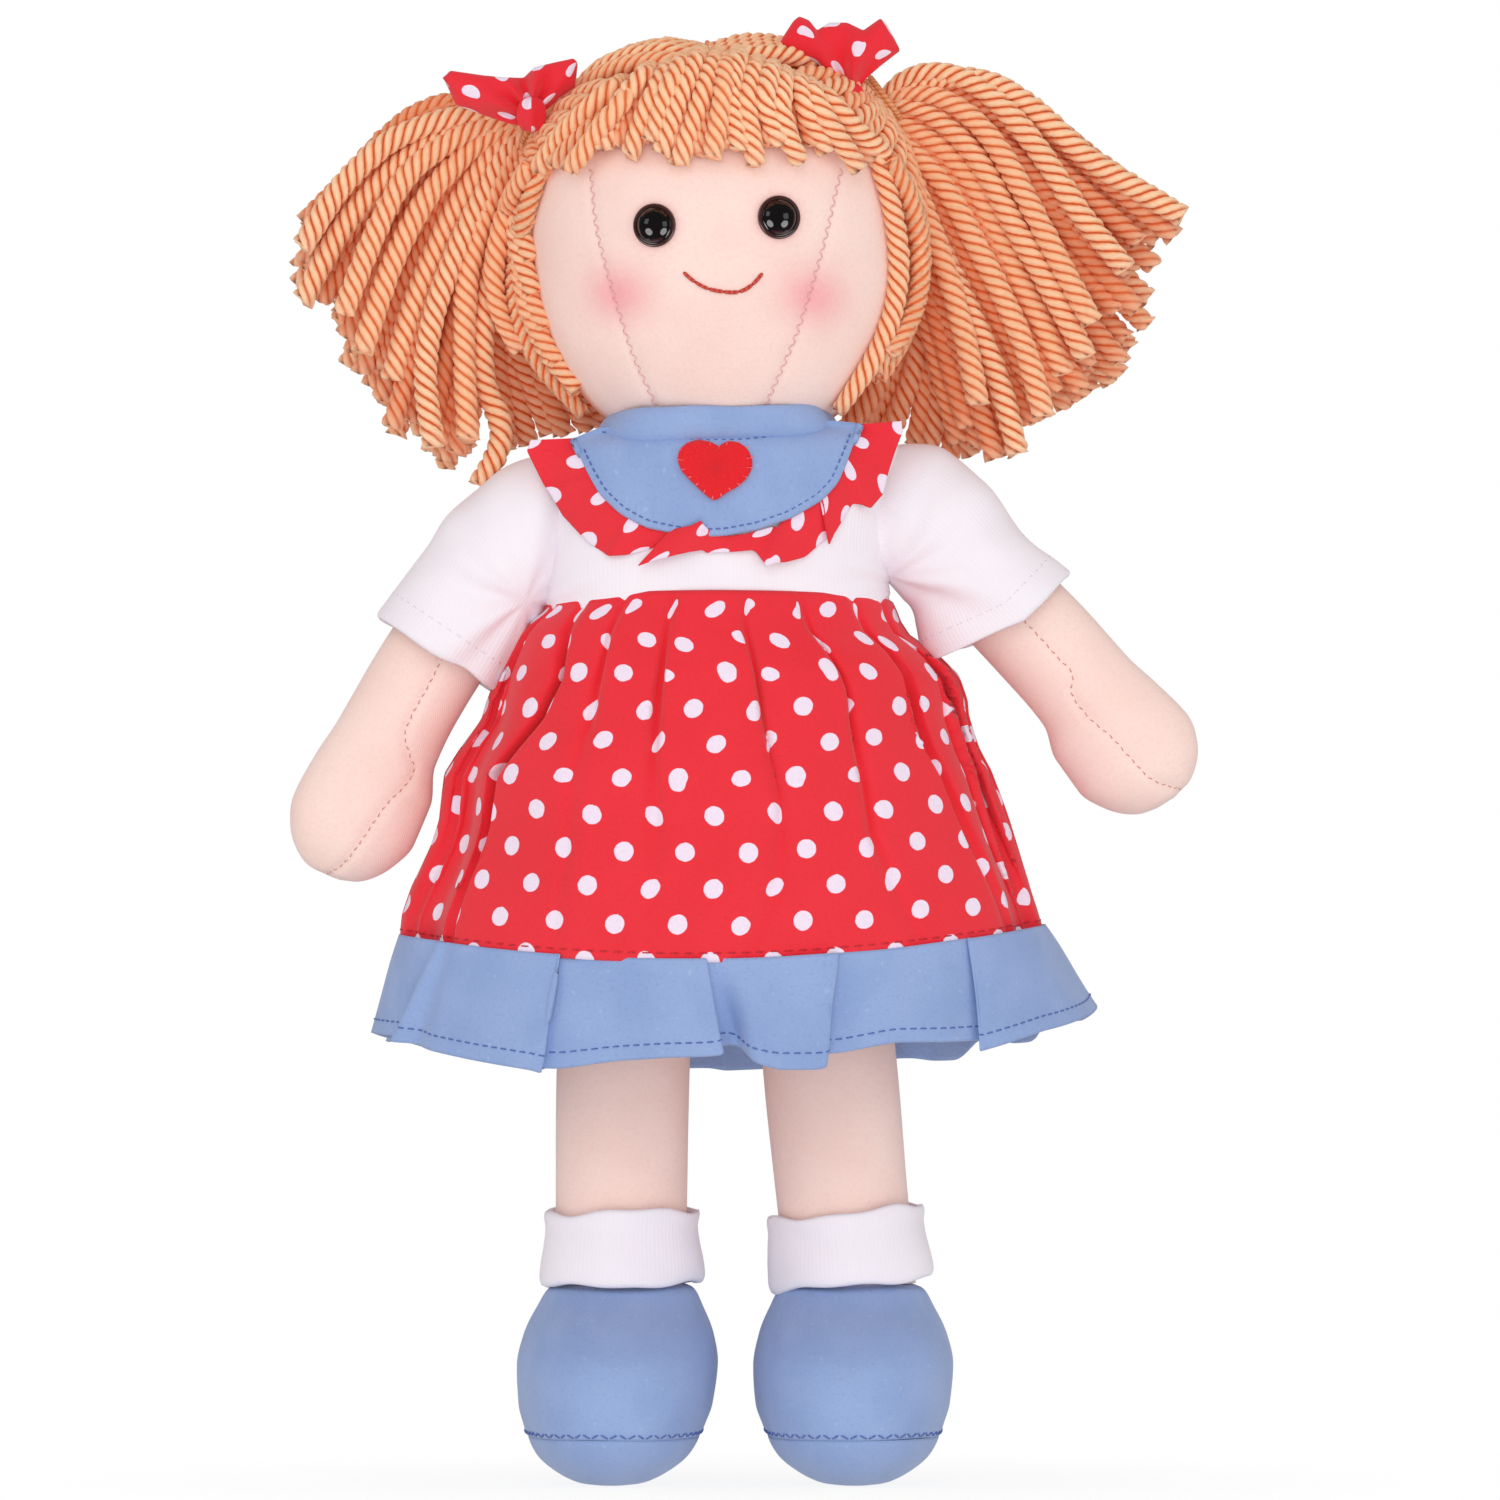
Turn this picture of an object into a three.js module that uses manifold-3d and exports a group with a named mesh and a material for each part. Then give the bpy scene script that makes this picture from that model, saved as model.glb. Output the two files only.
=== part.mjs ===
// A rag doll: a stuffed cloth body with knotted yarn hair, in a sewn dress.
// Millimetres, +Z up. The doll looks along -Y, so its own left side is +X. The model is laid out
// from the doll's middle, and the finished group is moved so that its box stands centred on Z = 0.
import * as THREE from 'three';
import { mergeVertices } from 'three/addons/utils/BufferGeometryUtils.js';
import Module from 'manifold-3d';

const wasm = await Module();
wasm.setup();

// Driving dimensions

const clearance = 0.3; // left between pieces that touch
const jerseyThick = 1.5;
const cottonThick = 1.2;
const feltThick = 1.2;
const cut = { past: 6, reach: 400 }; // cutting shapes run past what they cut, and reach right through

const torso = { hipHeight: 152, height: 94.7, width: 79.4, depth: 52, seamGap: 0.55 };
const head = { seatGap: 0.4, height: 94.7, width: 90, depth: 76, below: 52.9, tiltDeg: 3.7 };
const eye = { apart: 29.6, up: 2.2, radius: 5.15, dome: 3.4, post: 1.6, postLength: 10 };
const washer = { radius: 5.2, thick: 1.6, deep: 6 };
const mouth = { width: 19.2, down: 9.6, sag: 5.3, thread: 0.8 };
const hair = { thick: 5, partingGap: 0.6, faceEdge: 6, fringeDrop: 26, napeDrop: 37, fringeWidth: 74 };
const tie = { out: 41, up: 28.6, back: 7, slantDeg: 35, neck: 5, wall: 1.7, width: 4.4 };
const pigtail = { reachRight: 63, reachLeft: 70, drop: 80, thick: 30, setBack: 20 };
const bow = { width: 32, height: 18, depth: 10, upOver: 8, outRight: 5.4, outLeft: -8 };
const arm = {
  down: 10.7, length: 104, width: 24.4, depth: 24, seamGap: 0.5, bendDeg: 23, rightDeg: 42.5, leftDeg: 54.5,
};
const sleeve = { length: 47, width: 33.5, depth: 32 };
const leg = { apart: 44, width: 32, depth: 31, seamGap: 0.3 };
const shoe = { height: 47.6, width: 48.2, toe: 43, heel: 19, soleSeam: 11.7 };
const ankleOut = { right: 23, left: 32.3 };
const footOut = { right: 25.4, left: 32.7 };
const cuff = { height: 17, bottomWidth: 38.4, topWidth: 37.2, thick: 2.8 };
const bodice = { length: 36.7, neckWidth: 52, neckDepth: 48, armhole: 12.6 };
const neckband = { height: 10.4, width: 58, depth: 51, topWidth: 54, topDepth: 55, thick: 5 };
const bib = { width: 70, above: 4.3, length: 24 };
const bibRuffle = { width: 7.5, thick: 2.4 };
const heart = { width: 18, height: 14.5, down: 8.7 };
const closing = { width: 11, length: 28, down: 5.7, strip: 0.8, slit: 0.8 };
const skirt = { height: 83.4, width: 154.6, depth: 103.5, fold: 2.2, sway: 1.2, sideLift: 5, tilt: 1.4 };
const hemRuffle = { height: 25, width: 174.6, depth: 118, fold: 3.4, sway: 4.3, sideLift: 6, tilt: 3 };

// Counts of sides and folds
const bodySides = 24;
const limbSides = 14;
const smallSides = 12;
const skirtSides = 54;
const ruffleSides = 84;
const outlineSteps = 10;
const shoeRoundness = 0.84;
const skirtFolds = [7, 12];
const ruffleFolds = [11, 17];

const skin = cloth('#efcdb2', 0.85);
const spottedRed = cloth('#d9232e', 0.85);
const blueCotton = cloth('#6f93d2', 0.85);
const whiteJersey = cloth('#f4f4f6', 0.9);
const yarn = cloth('#eeb47c', 0.95);
const redFelt = cloth('#d4202c', 0.95);
const redThread = cloth('#c2241f', 0.7);
const elastic = cloth('#e3a56f', 0.9);
const hookAndLoop = cloth('#efefef', 0.95);
const eyePlastic = new THREE.MeshStandardMaterial({ color: '#1b0f0c', roughness: 0.15 });
const washerPlastic = new THREE.MeshStandardMaterial({ color: '#e8e6df', roughness: 0.5 });

function cloth(color, roughness) {
  return new THREE.MeshStandardMaterial({ color, roughness, metalness: 0 });
}

const radians = THREE.MathUtils.degToRad;
const mix = THREE.MathUtils.lerp;

// Closed bodies

// A closed body from its points and faces, turned so that its faces point out.
function closedBody(points, faces) {
  let volume = 0; // six times the true one
  for (let i = 0; i < faces.length; i += 3) {
    const [a, b, c] = [points[faces[i]], points[faces[i + 1]], points[faces[i + 2]]];
    volume += a.dot(new THREE.Vector3().crossVectors(b, c));
  }
  if (volume < 0) faces.reverse();
  const geometry = new THREE.BufferGeometry();
  const places = points.flatMap((point) => point.toArray());
  geometry.setAttribute('position', new THREE.Float32BufferAttribute(places, 3));
  geometry.setIndex(faces);
  return geometry;
}

function bandFaces(faces, sides, low, high) {
  for (let s = 0; s < sides; s += 1) {
    const next = (s + 1) % sides;
    faces.push(low + s, low + next, high + s, low + next, high + next, high + s);
  }
}

// Rings of points joined into a stuffed form, closed at both ends.
function stuffed(rings) {
  const sides = rings[0].length;
  const points = rings.flat();
  const faces = [];
  for (let r = 0; r < rings.length - 1; r += 1) bandFaces(faces, sides, r * sides, (r + 1) * sides);
  const last = (rings.length - 1) * sides;
  const lowMiddle = points.push(middleOf(rings[0])) - 1;
  const highMiddle = points.push(middleOf(rings[rings.length - 1])) - 1;
  for (let s = 0; s < sides; s += 1) {
    const next = (s + 1) % sides;
    faces.push(lowMiddle, next, s, highMiddle, last + s, last + next);
  }
  return closedBody(points, faces);
}

// Rings of points joined into a sheet with a thickness: its outside down, its inside up again.
function sheetTube(outside, thickness) {
  const inside = outside.map((ring) => insetRing(ring, thickness)).reverse();
  const rings = [...outside, ...inside];
  const sides = outside[0].length;
  const faces = [];
  rings.forEach((ring, r) => bandFaces(faces, sides, r * sides, ((r + 1) % rings.length) * sides));
  return closedBody(rings.flat(), faces);
}

function middleOf(ring) {
  const middle = new THREE.Vector3();
  ring.forEach((point) => middle.add(point));
  return middle.divideScalar(ring.length);
}

// The ring moved inwards in its own level, square to its edge at each point.
function insetRing(ring, distance) {
  const middle = middleOf(ring);
  const inward = ring.map((point, i) => {
    const before = ring[(i + ring.length - 1) % ring.length];
    const after = ring[(i + 1) % ring.length];
    const along = new THREE.Vector3().subVectors(after, before).setZ(0).normalize();
    return new THREE.Vector3(-along.y, along.x, 0);
  });
  const toMiddle = ring.reduce((sum, point, i) => sum + inward[i].dot(middle.clone().sub(point)), 0);
  const way = Math.sign(toMiddle) * distance;
  return ring.map((point, i) => inward[i].multiplyScalar(way).add(point));
}

// A level ring whose front and back may differ in depth; the angle runs from +X by the back. A
// roundness under 1 fills the ring out towards its corners.
function levelRing(count, centre, halfWidth, front, back, roundness = 1) {
  const full = (part) => Math.sign(part) * Math.abs(part) ** roundness;
  return Array.from({ length: count }, (_, i) => {
    const angle = (2 * Math.PI * i) / count;
    const depth = Math.sin(angle) > 0 ? back : front;
    const offset = new THREE.Vector3(halfWidth * full(Math.cos(angle)), depth * full(Math.sin(angle)), 0);
    return offset.add(centre);
  });
}

function solidOf(geometry) {
  const bare = geometry.clone();
  ['normal', 'uv'].forEach((name) => bare.deleteAttribute(name));
  const merged = mergeVertices(bare);
  const vertProperties = new Float32Array(merged.attributes.position.array);
  const triVerts = new Uint32Array(merged.index.array);
  return new wasm.Manifold(new wasm.Mesh({ numProp: 3, vertProperties, triVerts }));
}

function geometryOf(solid) {
  const mesh = solid.getMesh();
  const geometry = new THREE.BufferGeometry();
  geometry.setAttribute('position', new THREE.Float32BufferAttribute(mesh.vertProperties, 3));
  geometry.setIndex([...mesh.triVerts]);
  return geometry;
}

// The form grown all over, square to its surface, as the next layer of cloth over it.
function grown(geometry, distance) {
  const layer = geometry.clone();
  layer.computeVertexNormals();
  const { position, normal } = layer.attributes;
  const point = new THREE.Vector3();
  const way = new THREE.Vector3();
  for (let i = 0; i < position.count; i += 1) {
    way.fromBufferAttribute(normal, i).multiplyScalar(distance);
    point.fromBufferAttribute(position, i).add(way);
    position.setXYZ(i, point.x, point.y, point.z);
  }
  return layer;
}

function layerSolid(geometry, inner, thickness) {
  return solidOf(grown(geometry, inner + thickness)).subtract(solidOf(grown(geometry, inner)));
}

// A cutting shape with this outline in X and Z, which runs forwards from its back face.
function outlinePrism(outline, curveSegments, back = 0) {
  const settings = { depth: cut.reach, bevelEnabled: false, curveSegments };
  const geometry = new THREE.ExtrudeGeometry(outline, settings);
  return solidOf(geometry.rotateX(Math.PI / 2).translate(0, back, 0));
}

function slab(x, y, z) {
  const size = [x, y, z].map(([low, high]) => high - low);
  const middle = [x, y, z].map(([low, high]) => (high + low) / 2);
  return solidOf(new THREE.BoxGeometry(...size).translate(...middle));
}

const whole = [-cut.reach, cut.reach];

function addMesh(group, name, geometry, material) {
  const mesh = new THREE.Mesh(geometry, material);
  mesh.name = name;
  group.add(mesh);
  return mesh;
}

const doll = new THREE.Group();
const sides = [['right', -1], ['left', 1]];

// Torso: wide soft shoulders, a slight waist, and a bottom that narrows to the flat hip seam.
// Shares of the height, then of half the width, and of half the depth in front and behind.
const torsoShares = [
  [0, 0.96, 0.015, 0.015], [0.058, 0.975, 0.2, 0.21], [0.143, 0.987, 0.5, 0.53], [0.25, 0.975, 0.77, 0.8],
  [0.4, 0.95, 0.92, 0.91], [0.535, 0.96, 0.97, 0.92], [0.663, 1, 1, 0.92], [0.79, 0.995, 0.99, 0.91],
  [0.885, 0.965, 0.96, 0.88], [0.935, 0.9, 0.94, 0.86], [0.965, 0.78, 0.87, 0.78], [0.9745, 0.62, 0.66, 0.6],
  [0.9798, 0.3, 0.27, 0.27], [1, 0.04, 0.04, 0.04],
];
const torsoFoot = torso.hipHeight + torso.seamGap;
const torsoTop = torso.hipHeight + torso.height;

// Half the width, the front depth and the back depth of the torso at a height over the soles.
function torsoHalves(height) {
  const heightShare = (height - torsoFoot) / (torsoTop - torsoFoot);
  const [widthShare, frontShare, backShare] = sharesAt(torsoShares, heightShare);
  return [(widthShare * torso.width) / 2, (frontShare * torso.depth) / 2, (backShare * torso.depth) / 2];
}

// The row of a table of shares at a share of the height, worked out between its two neighbours.
function sharesAt(table, heightShare) {
  const above = Math.max(1, table.findIndex(([share]) => share >= heightShare));
  const [low, high] = [table[above - 1], table[above]];
  const part = (heightShare - low[0]) / (high[0] - low[0]);
  return low.slice(1).map((share, i) => mix(share, high[i + 1], part));
}

const torsoForm = stuffed(torsoShares.map(([heightShare, widthShare, frontShare, backShare]) => levelRing(
  bodySides,
  new THREE.Vector3(0, 0, mix(torsoFoot, torsoTop, heightShare)),
  (widthShare * torso.width) / 2,
  (frontShare * torso.depth) / 2,
  (backShare * torso.depth) / 2,
)));
addMesh(doll, 'torso', torsoForm, skin);

// Head: an egg with its wide part low, leaning a little to the doll's right. It is laid out from
// its own centre. Shares of the height, of half the width, and of half the depth.
const headShares = [
  [0, 0.06, 0.06], [0.018, 0.3, 0.3], [0.06, 0.53, 0.52], [0.11, 0.675, 0.665], [0.2, 0.82, 0.81],
  [0.31, 0.93, 0.92], [0.44, 0.985, 0.985], [0.58, 1, 1], [0.7, 0.955, 0.965], [0.81, 0.84, 0.86],
  [0.9, 0.665, 0.69], [0.96, 0.46, 0.48], [0.99, 0.25, 0.26], [1, 0.06, 0.06],
];
const headForm = stuffed(headShares.map(([heightShare, widthShare, depthShare]) => levelRing(
  bodySides,
  new THREE.Vector3(0, 0, heightShare * head.height - head.below),
  (widthShare * head.width) / 2,
  (depthShare * head.depth) / 2,
  (depthShare * head.depth) / 2,
)));
const headGroup = new THREE.Group();
headGroup.position.z = torsoTop + head.seatGap + head.below;
headGroup.rotation.y = -radians(head.tiltDeg);
headGroup.updateMatrix();
doll.add(headGroup);

// A spot on the front of the head: its place, and how far it faces round from straight ahead.
function onFace(across, up) {
  const [widthShare, depthShare] = sharesAt(headShares, (up + head.below) / head.height);
  const [halfWidth, halfDepth] = [(widthShare * head.width) / 2, (depthShare * head.depth) / 2];
  const share = across / halfWidth;
  const rise = Math.sqrt(1 - share * share);
  const place = new THREE.Vector3(across, -halfDepth * rise, up);
  return { place, turn: Math.atan((halfDepth * share) / (halfWidth * rise)) };
}

// Eyes: a dome moulded on a post, pushed through the skin and held by a washer in the stuffing.
const eyeProfile = [new THREE.Vector2(0, -eye.postLength), new THREE.Vector2(eye.post, -eye.postLength)];
eyeProfile.push(new THREE.Vector2(eye.post, 0), new THREE.Vector2(eye.radius, 0));
const domeSteps = 4;
for (let i = 1; i <= domeSteps; i += 1) {
  const angle = (Math.PI / 2) * (i / domeSteps);
  const out = i === domeSteps ? 0 : eye.radius * Math.cos(angle);
  eyeProfile.push(new THREE.Vector2(out, eye.dome * Math.sin(angle)));
}
const postRoom = eye.post + clearance;
const washerProfile = [
  [postRoom, 0], [washer.radius, 0], [washer.radius, washer.thick], [postRoom, washer.thick], [postRoom, 0],
];
const washerRoom = washer.thick + 2 * clearance;
let headSolid = solidOf(headForm);
for (const [side, sign] of sides) {
  const { place, turn } = onFace((sign * eye.apart) / 2, eye.up);
  const seat = new THREE.Matrix4().makeRotationZ(Math.PI + turn).setPosition(place);
  const dome = new THREE.LatheGeometry(eyeProfile, smallSides).translate(0, 2 * clearance, 0);
  addMesh(headGroup, `eye_${side}`, dome.applyMatrix4(seat), eyePlastic);
  const ringPoints = washerProfile.map(([out, along]) => new THREE.Vector2(out, along));
  const ring = new THREE.LatheGeometry(ringPoints, smallSides).translate(0, -washer.deep, 0);
  addMesh(headGroup, `eye_washer_${side}`, ring.applyMatrix4(seat), washerPlastic);
  const holeLength = eye.postLength + cut.past;
  const hole = new THREE.CylinderGeometry(postRoom, postRoom, holeLength, smallSides);
  hole.translate(0, cut.past - holeLength / 2, 0);
  const pocketRadius = washer.radius + clearance;
  const pocket = new THREE.CylinderGeometry(pocketRadius, pocketRadius, washerRoom, smallSides);
  pocket.translate(0, washer.thick / 2 - washer.deep, 0);
  [hole, pocket].forEach((room) => {
    headSolid = headSolid.subtract(solidOf(room.applyMatrix4(seat)));
  });
}
addMesh(headGroup, 'head', geometryOf(headSolid), skin);

// Mouth: one line of thread that lies along the face.
const mouthPoints = 9;
const mouthLine = new THREE.CatmullRomCurve3(Array.from({ length: mouthPoints }, (_, i) => {
  const share = (2 * i) / (mouthPoints - 1) - 1;
  const up = mouth.sag * share * share - mouth.sag - mouth.down;
  const { place, turn } = onFace((share * mouth.width) / 2, up);
  const off = mouth.thread / 2 + 2 * clearance;
  return place.add(new THREE.Vector3(Math.sin(turn), -Math.cos(turn), 0).multiplyScalar(off));
}));
const threadSection = new THREE.Shape().absarc(0, 0, mouth.thread / 2, 0, 2 * Math.PI);
addMesh(headGroup, 'mouth_stitch', new THREE.ExtrudeGeometry(threadSection, {
  extrudePath: mouthLine, steps: 12, curveSegments: 3,
}), redThread);

// Hair: two halves that meet at the parting and leave the face bare, and the fringe in front.
const scalp = layerSolid(headForm, clearance, hair.thick);
const hairFront = -hair.faceEdge;
const aboveFringe = head.height - head.below - hair.fringeDrop;
const aboveNape = [-hair.napeDrop, cut.reach];
for (const [side, sign] of sides) {
  const beside = [(sign * hair.partingGap) / 2, sign * cut.reach].sort((a, b) => a - b);
  const half = scalp.intersect(slab(beside, [hairFront, cut.reach], aboveNape));
  addMesh(headGroup, `hair_half_${side}`, geometryOf(half), yarn);
}
const fringeRoom = [-cut.reach, hairFront - clearance];
const fringeWide = [-hair.fringeWidth / 2, hair.fringeWidth / 2];
const fringeSolid = scalp.intersect(slab(fringeWide, fringeRoom, [aboveFringe, cut.reach]));
addMesh(headGroup, 'fringe', geometryOf(fringeSolid), yarn);

// Hair ties and pigtails. The bunch leaves its tie at a slant, then fans out and hangs down and
// back. Shares of the reach and of the drop for the fan's outer and then its inner edge, then of
// the thickness and of the set back.
const pigtailShares = [
  [0.175, -0.124, 0.11, 0.13, 0.55, 0.05], [0.43, -0.09, 0.11, 0.295, 0.78, 0.2],
  [0.745, 0.095, 0.127, 0.51, 0.98, 0.5], [0.98, 0.295, 0.143, 0.76, 1, 0.8],
  [1, 0.48, 0.19, 1, 0.85, 1], [0.84, 0.66, 0.365, 1, 0.4, 1],
];
const neckReachShare = 0.75; // of the tie's width, so that the bunch shows on both sides of it
const hairOuter = solidOf(grown(headForm, hair.thick + 2 * clearance));
const tieBore = tie.neck + clearance;
const tieOuter = tieBore + tie.wall;

// A ring across a bunch of yarn, from one edge of the fan to the other.
function bunchRing(centre, half, halfThick) {
  return Array.from({ length: limbSides }, (_, i) => {
    const angle = (2 * Math.PI * i) / limbSides;
    const offset = half.clone().multiplyScalar(Math.cos(angle));
    offset.y += halfThick * Math.sin(angle);
    return offset.add(centre);
  });
}

function tieFrame(sign) {
  const slant = radians(tie.slantDeg);
  return {
    at: new THREE.Vector3(sign * tie.out, tie.back, tie.up),
    ahead: new THREE.Vector3(sign * Math.cos(slant), 0, Math.sin(slant)),
    square: new THREE.Vector3(-sign * Math.sin(slant), 0, Math.cos(slant)),
    turn: sign * (Math.PI / 2 - slant),
  };
}

function bunchForm(sign, reach) {
  const { at, ahead, square } = tieFrame(sign);
  const neckReach = neckReachShare * tie.width;
  const neckRings = [-neckReach, neckReach].map((along) => {
    const centre = ahead.clone().multiplyScalar(along).add(at);
    return bunchRing(centre, square.clone().multiplyScalar(tie.neck), tie.neck);
  });
  const fanRings = pigtailShares.map(([outShare, downShare, inShare, lowShare, thickShare, backShare]) => {
    const setBack = backShare * pigtail.setBack;
    const outer = new THREE.Vector3(sign * outShare * reach, setBack, -downShare * pigtail.drop);
    const inner = new THREE.Vector3(sign * inShare * reach, setBack, -lowShare * pigtail.drop);
    const centre = outer.clone().add(inner).divideScalar(2).add(at);
    return bunchRing(centre, outer.sub(inner).divideScalar(2), (thickShare * pigtail.thick) / 2);
  });
  return stuffed([...neckRings, ...fanRings]);
}

// Bows: a knotted strip in front of the tie. Shares of half the width and of half the height.
const bowShares = [
  [-1, 0.42], [-0.36, 0.4], [0.18, 0.4], [0.38, 0.65], [0.92, 0.9], [1, 0.05],
  [0.42, -0.7], [-0.08, -0.75], [-0.8, -0.35], [-0.86, 0.2],
];
const tieProfile = [
  [tieBore, 0], [tieOuter, 0], [tieOuter, tie.width], [tieBore, tie.width], [tieBore, 0],
].map(([out, along]) => new THREE.Vector2(out, along));
const reaches = { right: pigtail.reachRight, left: pigtail.reachLeft };
const bowOut = { right: bow.outRight, left: bow.outLeft };
for (const [side, sign] of sides) {
  const { at, turn } = tieFrame(sign);
  const bunch = bunchForm(sign, reaches[side]);
  addMesh(headGroup, `pigtail_${side}`, geometryOf(solidOf(bunch).subtract(hairOuter)), yarn);

  const band = new THREE.LatheGeometry(tieProfile, smallSides);
  band.translate(0, -tie.width / 2, 0).rotateX(Math.PI / 2).rotateY(turn).translate(...at);
  addMesh(headGroup, `hair_tie_${side}`, geometryOf(solidOf(band).subtract(hairOuter)), elastic);

  const bowX = sign * (tie.out + bowOut[side]);
  const bowZ = tie.up + bow.upOver;
  const outline = new THREE.Shape(bowShares.map(([acrossShare, upShare]) => new THREE.Vector2(
    bowX - (sign * acrossShare * bow.width) / 2,
    bowZ + (upShare * bow.height) / 2,
  )));
  const bowForm = new THREE.ExtrudeGeometry(outline, { depth: bow.depth, bevelEnabled: false });
  bowForm.rotateX(Math.PI / 2).translate(0, tie.back - tieOuter - clearance, 0);
  const bowSolid = solidOf(bowForm).subtract(hairOuter).subtract(solidOf(grown(bunch, clearance)));
  addMesh(headGroup, `bow_${side}`, geometryOf(bowSolid), spottedRed);
}

// Dress, from the skin out: each layer of cloth is the torso's form grown by what lies under it.
const bodiceFoot = torsoTop - bodice.length;
const overBodice = jerseyThick + 2 * clearance;
const overBib = overBodice + cottonThick + clearance;
const bodiceOuter = solidOf(grown(torsoForm, overBodice));
const armHeight = torsoTop - arm.down;
const armOut = torsoHalves(armHeight)[0] + arm.seamGap;
const neckHole = new THREE.CylinderGeometry(bodice.neckWidth / 2, bodice.neckWidth / 2, cut.reach, limbSides);
neckHole.rotateX(Math.PI / 2).scale(1, bodice.neckDepth / bodice.neckWidth, 1);
neckHole.translate(0, 0, armHeight + cut.reach / 2);
const neckHoleSolid = solidOf(neckHole);

const armholes = new THREE.CylinderGeometry(bodice.armhole, bodice.armhole, cut.reach, smallSides);
armholes.rotateZ(Math.PI / 2).translate(0, 0, armHeight);
const armholeOutside = [
  slab([armOut - cut.past, cut.reach], whole, whole), slab([-cut.reach, cut.past - armOut], whole, whole),
];
const backSlit = slab([-closing.slit / 2, closing.slit / 2], [0, cut.reach], whole);
let bodiceSolid = layerSolid(torsoForm, clearance, jerseyThick);
bodiceSolid = bodiceSolid.intersect(slab(whole, whole, [bodiceFoot, cut.reach]));
bodiceSolid = bodiceSolid.subtract(neckHoleSolid).subtract(backSlit);
armholeOutside.forEach((room) => {
  bodiceSolid = bodiceSolid.subtract(solidOf(armholes).intersect(room));
});
addMesh(doll, 'bodice', geometryOf(bodiceSolid), whiteJersey);

// Half an ellipse that hangs from the top of the bib, wider and deeper than the bib by a margin.
function bibPrism(margin, past = cut.past, back = 0) {
  const outline = new THREE.Shape();
  const halfWidth = bib.width / 2 + margin;
  const top = torsoTop + bib.above;
  outline.absellipse(0, top, halfWidth, bib.length + margin, Math.PI, 2 * Math.PI);
  outline.lineTo(halfWidth, top + past);
  outline.lineTo(-halfWidth, top + past);
  return outlinePrism(outline, outlineSteps, back);
}

const bibSolid = layerSolid(torsoForm, overBodice, cottonThick).intersect(bibPrism(0));
addMesh(doll, 'bib', geometryOf(bibSolid.subtract(neckHoleSolid)), blueCotton);

const ruffleBand = bibPrism(bibRuffle.width).subtract(bibPrism(clearance, 2 * cut.past, cut.past));
const ruffleLayer = layerSolid(torsoForm, overBodice, bibRuffle.thick);
addMesh(doll, 'bib_ruffle', geometryOf(ruffleLayer.intersect(ruffleBand)), spottedRed);
const overRuffle = solidOf(grown(torsoForm, overBodice + bibRuffle.thick + clearance));
const ruffleRoom = overRuffle.intersect(bibPrism(bibRuffle.width + clearance, cut.past, clearance));

// Felt heart. Shares of half its width and half its height, from the notch round to the point.
const heartShares = { notch: 0.55, lobe: 1, lobeOut: 0.5, side: 0.35, low: -0.35, lowOut: 0.62 };
const heartX = heart.width / 2;
const heartZ = heart.height / 2;
const heartMiddle = torsoTop - heart.down;
const heartOutline = new THREE.Shape();
heartOutline.moveTo(0, heartMiddle + heartShares.notch * heartZ);
for (const sign of [1, -1]) {
  const over = [sign * heartShares.lobeOut * heartX, heartMiddle + heartShares.lobe * heartZ];
  const beside = [sign * heartX, heartMiddle + heartShares.side * heartZ];
  const under = [sign * heartShares.lowOut * heartX, heartMiddle + heartShares.low * heartZ];
  const point = [0, heartMiddle - heartZ];
  const notch = [0, heartMiddle + heartShares.notch * heartZ];
  const stops = sign > 0 ? [over, beside, under, point] : [under, beside, over, notch];
  heartOutline.splineThru(stops.map(([x, z]) => new THREE.Vector2(x, z)));
}
const heartLayer = layerSolid(torsoForm, overBib, feltThick);
addMesh(doll, 'heart_patch', geometryOf(heartLayer.intersect(outlinePrism(heartOutline, 3))), redFelt);

// Back opening: a loop strip on the bodice, a hook strip on that, and the placket over both.
let layersUnder = overBodice;
const closingTop = torsoTop - closing.down;
const closingHigh = [closingTop - closing.length, closingTop];
const closingRoom = slab([-closing.width / 2, closing.width / 2], [0, cut.reach], closingHigh);
const closingLayers = [
  ['loop_strip', closing.strip, hookAndLoop], ['hook_strip', closing.strip, hookAndLoop],
  ['back_placket', jerseyThick, whiteJersey],
];
for (const [name, thickness, material] of closingLayers) {
  const layer = layerSolid(torsoForm, layersUnder, thickness).intersect(closingRoom);
  addMesh(doll, name, geometryOf(layer), material);
  layersUnder += thickness + clearance;
}

// Neckband: a rolled collar that stands round the bottom of the head.
const headInDoll = grown(headForm, clearance).applyMatrix4(headGroup.matrix);
const neckbandShares = [[0, 0], [0.4, 0.1], [1, 1]]; // of its height, and of the way to its top size
const neckbandFoot = torsoTop + 2 * clearance;
const neckbandRings = neckbandShares.map(([heightShare, topShare]) => levelRing(
  bodySides,
  new THREE.Vector3(0, 0, neckbandFoot + heightShare * neckband.height),
  mix(neckband.width, neckband.topWidth, topShare) / 2,
  mix(neckband.depth, neckband.topDepth, topShare) / 2,
  mix(neckband.depth, neckband.topDepth, topShare) / 2,
));
const neckbandCuts = [solidOf(headInDoll), solidOf(grown(torsoForm, overBib))];
const neckbandWhole = solidOf(sheetTube(neckbandRings, neckband.thick));
const neckbandSolid = neckbandCuts.reduce((band, form) => band.subtract(form), neckbandWhole);
addMesh(doll, 'neckband', geometryOf(neckbandSolid), blueCotton);

// Skirt and hem ruffle: gathered cloth that hangs in folds. The folds deepen towards the hem.
const foldMixShares = [0.6, 0.4];
const foldStarts = [0.4, 1.3]; // radians round from +X

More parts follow.
